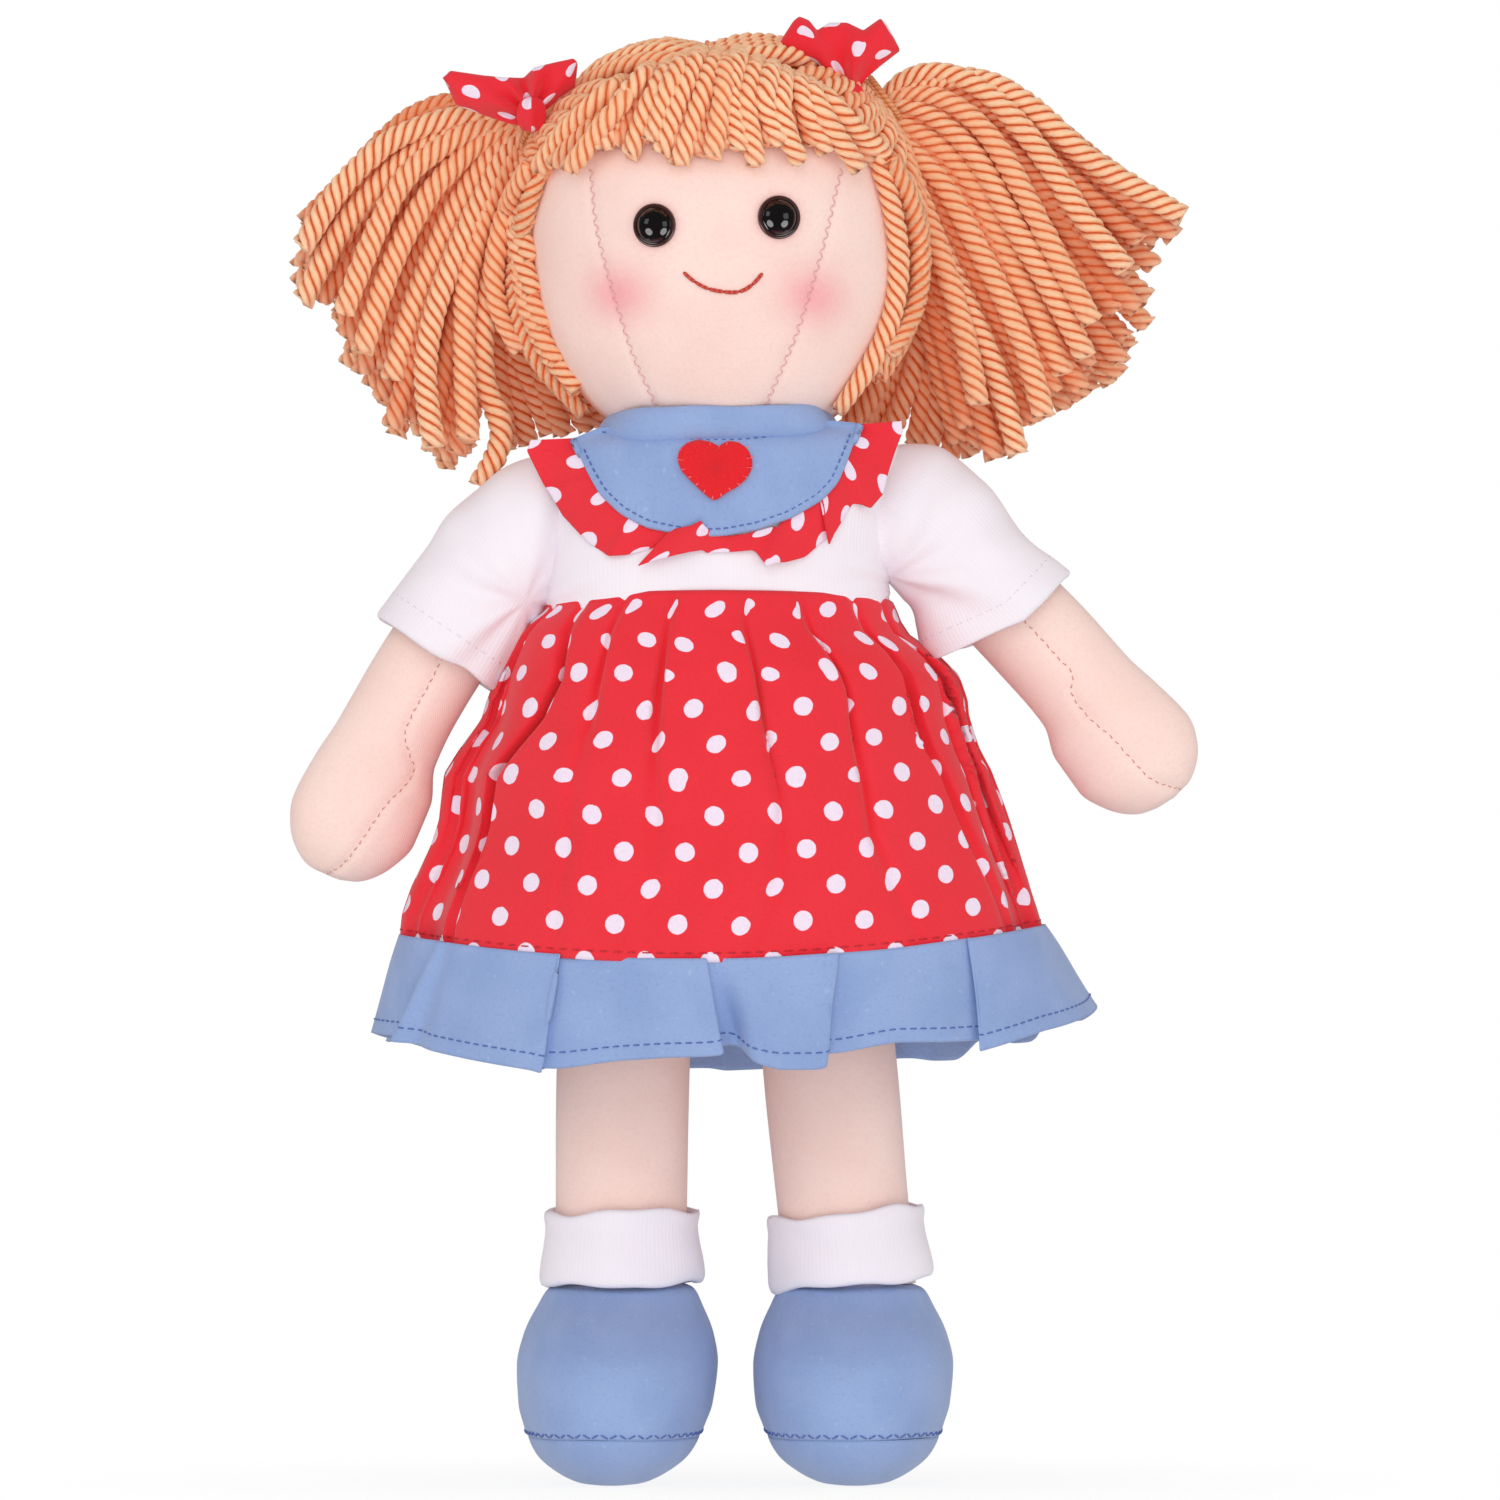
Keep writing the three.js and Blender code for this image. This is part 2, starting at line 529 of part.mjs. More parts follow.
function hangingRing(count, level, folds, foldDepth) {
  const centre = new THREE.Vector3(level.x, 0, level.z);
  return levelRing(count, centre, level.halfWidth, level.front, level.back).map((point, i) => {
    const angle = (2 * Math.PI * i) / count;
    const waves = folds.map((fold, k) => foldMixShares[k] * Math.cos(fold * angle + foldStarts[k]));
    const wave = waves.reduce((sum, part) => sum + part, 0);
    const out = point.clone().sub(centre);
    out.setLength(out.length() + foldDepth * wave);
    out.z = level.sideLift * Math.cos(angle) ** 2 + level.tilt * Math.cos(angle);
    return out.add(centre);
  });
}

const [waistHalf, waistFront, waistBack] = torsoHalves(bodiceFoot).map((half) => half + overBodice);
const waist = {
  x: 0,
  z: bodiceFoot - clearance,
  halfWidth: waistHalf,
  front: waistFront,
  back: waistBack,
  sideLift: 0,
  tilt: 0,
};
const skirtHem = {
  x: skirt.sway,
  z: waist.z - skirt.height,
  halfWidth: skirt.width / 2,
  front: skirt.depth / 2,
  back: skirt.depth / 2,
  sideLift: skirt.sideLift,
  tilt: skirt.tilt,
};
const ruffleTop = { ...skirtHem, z: skirtHem.z - clearance };
const ruffleHem = {
  x: hemRuffle.sway,
  z: ruffleTop.z - hemRuffle.height,
  halfWidth: hemRuffle.width / 2,
  front: hemRuffle.depth / 2,
  back: hemRuffle.depth / 2,
  sideLift: hemRuffle.sideLift,
  tilt: hemRuffle.tilt,
};

function levelBetween(top, bottom, downShare, widthShare, depthShare) {
  return {
    x: mix(top.x, bottom.x, downShare),
    z: mix(top.z, bottom.z, downShare),
    halfWidth: mix(top.halfWidth, bottom.halfWidth, widthShare),
    front: mix(top.front, bottom.front, depthShare),
    back: mix(top.back, bottom.back, depthShare),
    sideLift: mix(top.sideLift, bottom.sideLift, downShare),
    tilt: mix(top.tilt, bottom.tilt, downShare),
  };
}

// Shares of the way down, of the spread in width and in depth, and of the folds' depth.
const skirtShares = [
  [0, 0, 0, 0.1], [0.05, 0.084, 0.13, 0.3], [0.2, 0.25, 0.36, 0.55], [0.42, 0.46, 0.59, 0.75],
  [0.7, 0.73, 0.8, 0.9], [1, 1, 1, 1],
];
const ruffleShares = [[0, 0, 0, 0], [0.5, 0.45, 0.45, 0.65], [1, 1, 1, 1]];
const skirtRings = skirtShares.map(([downShare, widthShare, depthShare, foldShare]) => {
  const level = levelBetween(waist, skirtHem, downShare, widthShare, depthShare);
  return hangingRing(skirtSides, level, skirtFolds, foldShare * skirt.fold);
});
addMesh(doll, 'skirt', sheetTube(skirtRings, cottonThick), spottedRed);
const skirtRoom = solidOf(grown(stuffed(skirtRings), clearance));
const ruffleRings = ruffleShares.map(([downShare, widthShare, depthShare, foldShare]) => {
  const level = levelBetween(ruffleTop, ruffleHem, downShare, widthShare, depthShare);
  const skirtWave = hangingRing(ruffleSides, level, skirtFolds, (1 - foldShare) * skirt.fold);
  const ownWave = hangingRing(ruffleSides, level, ruffleFolds, foldShare * hemRuffle.fold);
  return skirtWave.map((point, i) => point.lerp(ownWave[i], foldShare));
});
addMesh(doll, 'hem_ruffle', sheetTube(ruffleRings, cottonThick), blueCotton);

// Arms: each hangs from a flat seam at the shoulder and bends in towards a mitten hand. Shares of
// the length, of half the width outside and inside, and of half the depth.
const armShares = [
  [0, 0.035, 0.035, 0.9], [0.075, 0.42, 0.25, 1], [0.17, 0.88, 0.62, 1.02], [0.28, 1, 0.9, 1],
  [0.42, 0.98, 0.98, 0.98], [0.57, 0.98, 0.98, 0.95], [0.665, 1.02, 1.03, 0.95], [0.76, 1.16, 1.28, 0.98],
  [0.86, 1.26, 1.3, 0.96], [0.925, 1.1, 1.1, 0.84], [0.972, 0.78, 0.78, 0.6], [1, 0.4, 0.4, 0.3],
];
const sleeveShares = [
  [-0.17, 0.36, 0.36, 0.6], [-0.04, 0.68, 0.68, 0.8], [0.13, 0.87, 0.87, 0.92], [0.43, 0.97, 0.97, 1],
  [0.72, 1, 0.96, 1], [1, 1.01, 0.88, 1.01],
];
const armCurve = radians(arm.bendDeg) / arm.length;

// A ring across the arm's path, which curves inwards; inward is 1 or -1 along X.
function armRing(inward, along, outside, inside, halfDepth) {
  const bend = armCurve * along;
  const across = new THREE.Vector3(inward * Math.cos(bend), 0, Math.sin(bend));
  const centre = new THREE.Vector3((inward * (1 - Math.cos(bend))) / armCurve, 0, -Math.sin(bend) / armCurve);
  return Array.from({ length: limbSides }, (_, i) => {
    const angle = (2 * Math.PI * i) / limbSides;
    const half = Math.cos(angle) > 0 ? inside : outside;
    const offset = across.clone().multiplyScalar(half * Math.cos(angle));
    offset.y = halfDepth * Math.sin(angle);
    return offset.add(centre);
  });
}

for (const [side, sign] of sides) {
  const armGroup = new THREE.Group();
  armGroup.name = `shoulder_${side}`;
  armGroup.position.set(sign * armOut, 0, armHeight);
  armGroup.rotation.y = -sign * radians(arm[`${side}Deg`]);
  armGroup.updateMatrix();
  doll.add(armGroup);
  const armRings = armShares.map(([alongShare, outShare, inShare, depthShare]) => armRing(
    -sign,
    mix(arm.seamGap, arm.length, alongShare),
    (outShare * arm.width) / 2,
    (inShare * arm.width) / 2,
    (depthShare * arm.depth) / 2,
  ));
  addMesh(armGroup, `arm_${side}`, stuffed(armRings), skin);
  const sleeveRings = sleeveShares.map(([alongShare, outShare, inShare, depthShare]) => armRing(
    -sign,
    alongShare * sleeve.length,
    (outShare * sleeve.width) / 2,
    (inShare * sleeve.width) / 2,
    (depthShare * sleeve.depth) / 2,
  ));
  const sleeveInDoll = solidOf(sheetTube(sleeveRings, jerseyThick).applyMatrix4(armGroup.matrix));
  const sleeveCuts = [bodiceOuter, ruffleRoom, skirtRoom];
  const sleeveGeometry = geometryOf(sleeveCuts.reduce((left, room) => left.subtract(room), sleeveInDoll));
  sleeveGeometry.applyMatrix4(armGroup.matrix.clone().invert());
  addMesh(armGroup, `sleeve_${side}`, sleeveGeometry, whiteJersey);
}

// Legs: each hangs from a flat seam at the hip and ends on the shoe. Shares of the length, of half
// the width and of half the depth.
const legShares = [
  [0, 0.965, 0.03], [0.075, 0.975, 0.3], [0.19, 0.99, 0.76], [0.3, 1, 0.98], [0.55, 1, 1],
  [0.8, 0.985, 0.985], [1, 0.965, 0.965],
];
const legTop = torso.hipHeight - leg.seamGap;
const legFoot = shoe.height + clearance;

function legX(side, sign, height) {
  return sign * mix(ankleOut[side], leg.apart / 2, (height - legFoot) / (legTop - legFoot));
}

// Shoes: the stuffed foot in two pieces, sewn together low down. The sole is cut flat to stand on.
// Shares of the shoe's height, of half its width, of the toe and of the heel.
const upperShares = [
  [0.298, 0.888, 1, 0.974], [0.447, 0.98, 1, 1], [0.595, 1, 0.93, 1], [0.742, 0.946, 0.767, 0.974],
  [0.891, 0.817, 0.512, 0.92], [0.979, 0.714, 0.37, 0.85], [1, 0.62, 0.31, 0.78],
];
const soleShares = [[0, 0.373, 0.558, 0.63], [0.078, 0.556, 0.814, 0.8], [0.151, 0.747, 0.93, 0.89]];
const seamShares = [0.845, 0.988, 0.947];
const seamRow = (way) => [(shoe.soleSeam + (way * clearance) / 2) / shoe.height, ...seamShares];

function shoeRings(side, sign, table) {
  return table.map(([heightShare, widthShare, toeShare, heelShare]) => levelRing(
    limbSides,
    new THREE.Vector3(sign * mix(footOut[side], ankleOut[side], heightShare), 0, heightShare * shoe.height),
    (widthShare * shoe.width) / 2,
    toeShare * shoe.toe,
    heelShare * shoe.heel,
    shoeRoundness,
  ));
}

for (const [side, sign] of sides) {
  const legRings = legShares.map(([alongShare, widthShare, depthShare]) => {
    const height = mix(legTop, legFoot, alongShare);
    const halfDepth = (depthShare * leg.depth) / 2;
    const centre = new THREE.Vector3(legX(side, sign, height), 0, height);
    return levelRing(limbSides, centre, (widthShare * leg.width) / 2, halfDepth, halfDepth);
  });
  addMesh(doll, `leg_${side}`, stuffed(legRings), skin);
  const upperForm = stuffed(shoeRings(side, sign, [seamRow(1), ...upperShares]));
  const soleForm = stuffed(shoeRings(side, sign, [...soleShares, seamRow(-1)]));
  addMesh(doll, `shoe_upper_${side}`, upperForm, blueCotton);
  addMesh(doll, `shoe_sole_${side}`, soleForm, blueCotton);
  const cuffFoot = legFoot + clearance;
  const cuffEnds = [[cuffFoot, cuff.bottomWidth], [cuffFoot + cuff.height, cuff.topWidth]];
  const cuffRings = cuffEnds.map(([height, width]) => {
    const centre = new THREE.Vector3(legX(side, sign, height), 0, height);
    return levelRing(limbSides, centre, width / 2, width / 2, width / 2);
  });
  addMesh(doll, `sock_cuff_${side}`, sheetTube(cuffRings, cuff.thick), whiteJersey);
}

// The doll stands with its box centred on the origin and its soles on Z = 0.
doll.updateMatrixWorld(true);
const box = new THREE.Box3().setFromObject(doll, true);
doll.position.set(-(box.min.x + box.max.x) / 2, -(box.min.y + box.max.y) / 2, -box.min.z);

export default doll;
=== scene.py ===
# A rag doll about 35 cm tall: a stuffed cotton body, yarn hair in two pigtails, and a sewn dress.
# Sizes are millimetres from the middle of the doll, with the soles at 0. It looks along -Y.
import math

import bpy
import numpy as np
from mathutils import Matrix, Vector
from mathutils.bvhtree import BVHTree


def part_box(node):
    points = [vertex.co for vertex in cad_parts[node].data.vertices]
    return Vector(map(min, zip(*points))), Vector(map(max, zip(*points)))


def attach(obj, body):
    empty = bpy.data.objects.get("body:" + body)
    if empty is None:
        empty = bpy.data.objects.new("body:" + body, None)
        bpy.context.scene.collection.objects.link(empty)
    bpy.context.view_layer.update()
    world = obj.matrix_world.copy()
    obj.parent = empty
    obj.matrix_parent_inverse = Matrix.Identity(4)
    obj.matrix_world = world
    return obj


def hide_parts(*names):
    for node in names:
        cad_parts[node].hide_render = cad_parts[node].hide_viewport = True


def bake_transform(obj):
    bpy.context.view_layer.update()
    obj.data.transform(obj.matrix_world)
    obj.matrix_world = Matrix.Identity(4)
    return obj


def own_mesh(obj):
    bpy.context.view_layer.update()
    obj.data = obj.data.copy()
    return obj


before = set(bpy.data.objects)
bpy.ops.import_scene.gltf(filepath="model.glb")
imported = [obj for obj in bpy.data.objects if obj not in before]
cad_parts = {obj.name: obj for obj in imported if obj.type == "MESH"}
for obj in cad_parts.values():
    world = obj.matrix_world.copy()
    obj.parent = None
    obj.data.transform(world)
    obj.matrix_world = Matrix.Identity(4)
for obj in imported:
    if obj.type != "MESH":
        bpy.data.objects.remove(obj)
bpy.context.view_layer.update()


# The studio: the camera straight in front, as in the photograph, a white surround, and soft lamps.
# The floor is a pale sheet that fades out into the white, and it keeps the doll's shadow.
def paint(red, green, blue):
    """A colour as a paint chart gives it, from 0 to 255, as a shader takes it."""
    shares = [part / 255 for part in (red, green, blue)]
    return tuple(s / 12.92 if s <= 0.04045 else ((s + 0.055) / 1.055) ** 2.4 for s in shares)


class Socket:
    """One value in a finish. Maths on it is written as a plain expression."""

    def __init__(self, nodes, link):
        self.nodes = nodes
        self.link = link

    def math(self, operation, *values):
        return self.nodes.add("ShaderNodeMath", {"operation": operation}, dict(enumerate(values)))

    def __add__(self, other):
        return self.math("ADD", self, other)

    def __radd__(self, other):
        return self.math("ADD", other, self)

    def __sub__(self, other):
        return self.math("SUBTRACT", self, other)

    def __rsub__(self, other):
        return self.math("SUBTRACT", other, self)

    def __mul__(self, other):
        return self.math("MULTIPLY", self, other)

    def __rmul__(self, other):
        return self.math("MULTIPLY", other, self)

    def __truediv__(self, other):
        return self.math("DIVIDE", self, other)

    def __pow__(self, other):
        return self.math("POWER", self, other)

    def __mod__(self, other):
        return self.math("FLOORED_MODULO", self, other)

    def sine(self):
        return self.math("SINE", self)

    def root(self):
        return self.math("SQRT", self)

    def part(self, way):
        """One part of a place, X or Y."""
        return self.nodes.add("ShaderNodeSeparateXYZ", None, {0: self}, way)

    def held(self):
        """The value kept between 0 and 1."""
        return self.nodes.add("ShaderNodeClamp", None, {"Value": self})

    def step(self, low, high):
        """0 below low and 1 above high, with a soft step between."""
        settings = {"interpolation_type": "SMOOTHSTEP"}
        return self.nodes.add("ShaderNodeMapRange", settings, {"Value": self, 1: low, 2: high})


class Nodes:
    """The nodes of one finish, and the one way of adding to them."""

    def __init__(self, owner):
        owner.use_nodes = True
        self.tree = owner.node_tree
        self.tree.nodes.clear()

    def add(self, kind, settings=None, sockets=None, out=0):
        made = self.tree.nodes.new(kind)
        for name, setting in (settings or {}).items():
            if name == "stops":
                elements = made.color_ramp.elements
                for place, colour in setting:
                    element = elements.new(place)
                    element.color = (*colour, 1)
                elements.remove(elements[0])
                elements.remove(elements[-1])
            else:
                setattr(made, name, setting)
        for name, value in (sockets or {}).items():
            if isinstance(value, Socket):
                self.tree.links.new(value.link, made.inputs[name])
            elif made.inputs[name].type == "RGBA":
                made.inputs[name].default_value = (*value[:3], 1)
            else:
                made.inputs[name].default_value = value
        return Socket(self, made.outputs[out]) if made.outputs else None

    def blend(self, share, first, second):
        """The first colour, and the second where the share is 1."""
        settings = {"data_type": "RGBA"}
        return self.add("ShaderNodeMix", settings, {0: share, 6: first, 7: second}, 2)


scene = bpy.context.scene
scene.view_settings.view_transform = "Standard"

camera = bpy.data.objects.new("camera", bpy.data.cameras.new("camera"))
scene.collection.objects.link(camera)
camera.location = (0.00126, -4.0, 0.17568)
camera.rotation_euler = (math.pi / 2, 0, 0)
camera.data.lens = 400
camera.data.sensor_width = 36
camera.data.clip_end = 100
scene.camera = camera

world = bpy.data.worlds.new("studio")
scene.world = world
surround = Nodes(world)
camera_ray, clear_ray, glossy_ray = [
    surround.add("ShaderNodeLightPath", out=name)
    for name in ("Is Camera Ray", "Is Transmission Ray", "Is Glossy Ray")
]
seen_ray = (camera_ray + clear_ray).held()
soft_light = surround.add("ShaderNodeBackground", None, {"Color": (1, 0.985, 0.98), "Strength": 0.69})
white = surround.add("ShaderNodeBackground", None, {"Color": (1, 1, 1), "Strength": 1.0})
dim_white = surround.add("ShaderNodeBackground", None, {"Color": (1, 1, 1), "Strength": 0.1})
lit = surround.add("ShaderNodeMixShader", None, {0: glossy_ray, 1: soft_light, 2: dim_white})
surround.add("ShaderNodeOutputWorld", None, {
    0: surround.add("ShaderNodeMixShader", None, {0: seen_ray, 1: lit, 2: white}),
})


def lamp(name, place, towards, width, watts):
    """A square soft lamp."""
    light = bpy.data.lights.new(name, "AREA")
    light.size = width
    light.energy = watts
    made = bpy.data.objects.new(name, light)
    scene.collection.objects.link(made)
    made.location = place
    made.rotation_euler = (Vector(towards) - Vector(place)).to_track_quat("-Z", "Y").to_euler()
    return made


for soft_lamp in (lamp("lamp_front", (-0.35, -2.6, 1.5), (0, 0, 0.18), 1.5, 10.5),
                  lamp("lamp_low", (0.1, -2.6, -0.25), (0, 0, 0.14), 1.6, 18)):
    soft_lamp.visible_glossy = False
lamp("lamp_left", (-2.0, -1.2, 1.1), (0, 0, 0.18), 1.0, 4)
lamp("lamp_right", (1.9, -1.6, 0.6), (0, 0, 0.18), 1.2, 5)
# Two round lamps low down show only in gloss, as the gleams in the eyes.
for name, across in (("gleam_left", -0.78), ("gleam_right", 0.78)):
    gleam = lamp(name, (across, -0.65, -0.37), (0, 0, 0.3), 0.85, 8)
    gleam.data.shape = "DISK"
    gleam.visible_diffuse = False

floor_finish = bpy.data.materials.new("pale_floor")
nodes = Nodes(floor_finish)
place = nodes.add("ShaderNodeTexCoord", out="Object")
away = nodes.add("ShaderNodeVectorMath", {"operation": "LENGTH"}, {0: place}, "Value")
grain = nodes.add("ShaderNodeTexNoise", None, {"Vector": place, "Scale": 90.0, "Detail": 3.0})
floor_colour = nodes.blend(grain * 0.3, (0.97, 0.97, 0.97), (0.93, 0.93, 0.935))
pale = nodes.add("ShaderNodeBsdfPrincipled", None, {
    "Base Color": floor_colour, "Roughness": 0.9, "Specular IOR Level": 0.0,
    "Alpha": (1 - away.step(0.04, 0.2)) * 0.12,
})
nodes.add("ShaderNodeOutputMaterial", None, {0: pale})
floor_mesh = bpy.data.meshes.new("floor")
floor_reach = 0.45
edge = [(floor_reach * math.cos(turn), floor_reach * math.sin(turn), 0)
        for turn in np.linspace(0, 2 * math.pi, 96, endpoint=False)]
floor_mesh.from_pydata(edge, [], [list(range(len(edge)))])
floor_mesh.materials.append(floor_finish)
floor = bpy.data.objects.new("floor", floor_mesh)
scene.collection.objects.link(floor)


# Torso: one bag of skin-coloured cotton, stuffed, with wide soft shoulders and a flat hip seam.
# Nearly all of it is under the dress.
torso_low, torso_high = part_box("torso")
leg_low, leg_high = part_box("leg_right")
# The point on the floor under the doll, from which all its own sizes are laid out.
middle = np.array([500 * (torso_low.x + torso_high.x), 500 * (leg_low.y + leg_high.y), 0.0])


def along_line(line):
    """How far along a line each of its points is."""
    return np.append(0, np.cumsum(np.linalg.norm(np.diff(line, axis=0), axis=1)))


def eased(table, count):
    """Measured rows, drawn as one smooth curve and read off at this many places along it."""
    table = np.array(table, float)
    place = along_line(table)
    slope = np.diff(table, axis=0) / np.diff(place)[:, None]
    lead = np.zeros_like(table)
    same_way = slope[:-1] * slope[1:] > 0
    total = np.where(same_way, slope[:-1] + slope[1:], 1)
    lead[1:-1] = np.where(same_way, 2 * slope[:-1] * slope[1:] / total, 0)
    lead[0], lead[-1] = slope[0], slope[-1]
    at = np.linspace(0, place[-1], count)
    row = np.clip(np.searchsorted(place, at, side="right") - 1, 0, len(place) - 2)
    span = (place[row + 1] - place[row])[:, None]
    s = (at - place[row])[:, None] / span
    ends = (1 + 2 * s) * (1 - s) ** 2 * table[row] + s * s * (3 - 2 * s) * table[row + 1]
    return ends + span * (s * (1 - s) ** 2 * lead[row] + s * s * (s - 1) * lead[row + 1])


def level_ring(across, height, half_width, front, back, sides, fullness=1.0):
    """A level ring of points. It starts behind and runs round by the doll's right side."""
    angle = math.pi / 2 + np.arange(sides) * 2 * math.pi / sides
    wide = np.sign(np.cos(angle)) * abs(np.cos(angle)) ** fullness
    deep = np.sign(np.sin(angle)) * abs(np.sin(angle)) ** fullness
    depth = np.where(deep > 0, back, front)
    return np.stack([across + half_width * wide, depth * deep, np.full(sides, float(height))], axis=1)


def outward(grid, around=True):
    """Which way the cloth faces at each point of a grid."""
    if around:
        across = np.roll(grid, -1, axis=1) - np.roll(grid, 1, axis=1)
    else:
        across = np.gradient(grid, axis=1)
    facing = np.cross(across, np.gradient(grid, axis=0))
    return facing / np.maximum(np.linalg.norm(facing, axis=2, keepdims=True), 1e-9)


def uneven(points, size, seed):
    """The soft unevenness of hand work, about -1 to 1, in lumps of about this size."""
    draw = np.random.RandomState(seed)
    ways = draw.normal(size=(16, 3))
    ways *= draw.uniform(0.6, 1.4, (16, 1)) * math.pi / size / np.linalg.norm(ways, axis=1)[:, None]
    return np.sin(points @ ways.T + draw.uniform(0, 2 * math.pi, 16)).sum(axis=-1) / 5.6


def rumple(grid, size, depth, seed, around=True):
    """The grid with its surface moved in and out by up to this depth."""
    return grid + outward(grid, around) * (depth * uneven(grid, size, seed))[..., None]


def laid_flat(grid, around, looped, flat, slid):
    """The places of a grid's faces on the cloth laid flat, with how wide and tall the cloth is."""
    closed = np.concatenate([grid, grid[:, :1]], axis=1) if around else grid
    lengths = np.linalg.norm(np.diff(closed, axis=1), axis=2)
    wide = np.append(0, np.cumsum(lengths[lengths.sum(axis=1).argmax()]))
    if flat:
        wide = np.linspace(0, flat, len(wide))
    path = np.concatenate([grid, grid[:1]]) if looped else grid
    tall = np.append(0, np.cumsum(np.linalg.norm(np.diff(path, axis=0), axis=2).mean(axis=1)))
    u, v = np.meshgrid(wide / 1000, tall / 1000)
    if slid is not None:
        v = v + np.concatenate([slid, slid[:, :1]], axis=1) / 1000
    return four_corners(np.stack([u, v], axis=-1)), wide, tall


def four_corners(cells):
    """The four corners of each face of a grid, in their order round it."""
    return np.stack([cells[:-1, :-1], cells[:-1, 1:], cells[1:, 1:], cells[1:, :-1]], axis=2)


def make_piece(name, grids, finish, around=True, capped=True, looped=False, flat=None,
               slid=None, marks=None):
    """A mesh piece from grids of points, each in rows from foot to top. Its UV is the cloth laid
    flat, with the rows slid up by slid, and marks are values kept at its points for the finish."""
    points, corners, starts, flats = [], [], [], []
    marked = {mark: [] for mark in marks or {}}
    first = 0
    placed = 0
    for number, grid in enumerate(grids):
        grid = np.asarray(grid, float)
        rows, sides = grid.shape[:2]
        index = first + np.arange(rows * sides).reshape(rows, sides)
        if around:
            index = np.concatenate([index, index[:, :1]], axis=1)
        if looped:
            index = np.concatenate([index, index[:1]])
        quads = four_corners(index)
        laid, wide, tall = laid_flat(grid, around, looped, flat, slid)
        points.append(grid.reshape(-1, 3))
        for mark in marked:
            marked[mark].append(np.broadcast_to(marks[mark][number], (rows, sides)).reshape(-1))
        corners.append(quads.reshape(-1))
        starts.append(placed + 4 * np.arange(quads.size // 4))
        flats.append(laid.reshape(-1, 2))
        placed += quads.size
        first += rows * sides
        if capped and around and not looped:
            for row, turn in ((0, -1), (rows - 1, 1)):
                ring = index[row, :-1]
                after = index[row, 1:]
                hub = np.full(sides, first)
                fan = np.stack([hub, ring, after][::turn], axis=-1)
                points.append(grid[row].mean(axis=0)[None])
                for mark in marked:
                    values = np.broadcast_to(marks[mark][number], (rows, sides))[row]
                    marked[mark].append(values.mean()[None])
                corners.append(fan.reshape(-1))
                starts.append(placed + 3 * np.arange(sides))
                flats.append(np.tile([wide[-1] / 2000, tall[row] / 1000], (3 * sides, 1)))
                placed += 3 * sides
                first += 1
    points = (np.concatenate(points) + middle) / 1000
    corners, starts = np.concatenate(corners), np.concatenate(starts)
    mesh = bpy.data.meshes.new(name)
    mesh.vertices.add(len(points))
    mesh.vertices.foreach_set("co", points.astype(np.float32).reshape(-1))
    mesh.loops.add(len(corners))
    mesh.loops.foreach_set("vertex_index", corners.astype(np.int32))
    mesh.polygons.add(len(starts))
    mesh.polygons.foreach_set("loop_start", starts.astype(np.int32))
    mesh.update(calc_edges=True)
    mesh.shade_smooth()
    layer = mesh.uv_layers.new(name="laid_flat")
    layer.uv.foreach_set("vector", np.concatenate(flats).astype(np.float32).reshape(-1))
    for mark, values in marked.items():
        attribute = mesh.attributes.new(mark, "FLOAT", "POINT")
        attribute.data.foreach_set("value", np.concatenate(values).astype(np.float32))
    mesh.materials.append(finish)
    piece = bpy.data.objects.new(name, mesh)
    scene.collection.objects.link(piece)
    return piece


def new_finish(name):
    """An empty finish, with the place on its cloth laid flat, in metres."""
    finish = bpy.data.materials.new(name)
    nodes = Nodes(finish)
    laid = nodes.add("ShaderNodeUVMap", {"uv_map": "laid_flat"})
    return finish, nodes, laid


def close_finish(nodes, colour, roughness, bump, depth, sheen=0.0, **fixed):
    """The shader at the end of a finish. The bump is a height from 0 to 1 times the depth in metres."""
    relief = nodes.add("ShaderNodeBump", None, {"Height": bump, "Distance": depth})
    shader = nodes.add("ShaderNodeBsdfPrincipled", None, {
        "Base Color": colour, "Roughness": roughness, "Normal": relief, "Sheen Weight": sheen, **fixed,
    })
    nodes.add("ShaderNodeOutputMaterial", None, {0: shader})


def mottle(nodes, laid, scale, detail=2.0, rough=0.5):
    """Cloudy noise on the flat cloth, from 0 to 1, with this many clouds to the metre."""
    sockets = {"Vector": laid, "Scale": scale, "Detail": detail, "Roughness": rough}
    return nodes.add("ShaderNodeTexNoise", None, sockets)


def weave(nodes, laid, thread):
    """The height of plain-woven threads this many metres wide, from 0 to 1."""
    turn = math.pi / thread
    return (laid.part("X") * turn).sine() * (laid.part("Y") * turn).sine() * 0.5 + 0.5


skin, nodes, laid = new_finish("skin_cotton")
clouds = mottle(nodes, laid, 45.0, 3.0)
threads = weave(nodes, laid, 0.00042)
specks = mottle(nodes, laid, 900.0, 2.0)
skin_colour = nodes.blend(clouds.step(0.3, 0.72) * 0.8, paint(249, 220, 211), paint(244, 211, 201))
skin_colour = nodes.blend(specks.step(0.45, 0.8) * 0.35, skin_colour, paint(238, 198, 187))
# The blush mark holds the rubbed pink of the cheeks and, in the same pink, a ring of painted shade round
# each eye.
blush_and_eye_shade = nodes.add("ShaderNodeAttribute", {"attribute_name": "blush_and_eye_shade"}, out="Fac")
skin_colour = nodes.blend((blush_and_eye_shade * (0.85 + 0.3 * specks)).held(), skin_colour, paint(243, 156, 161))
# Under the hair the cloth is painted a dark yarn orange: painted shade for the gaps between the strands.
painted_shade_under_hair = nodes.add("ShaderNodeAttribute", {"attribute_name": "painted_shade_under_hair"}, out="Fac")
skin_colour = nodes.blend(painted_shade_under_hair, skin_colour, paint(222, 128, 76))
close_finish(nodes, skin_colour, 0.82 + 0.1 * specks, threads * 0.6 + specks * 0.6, 0.00006, sheen=0.15)

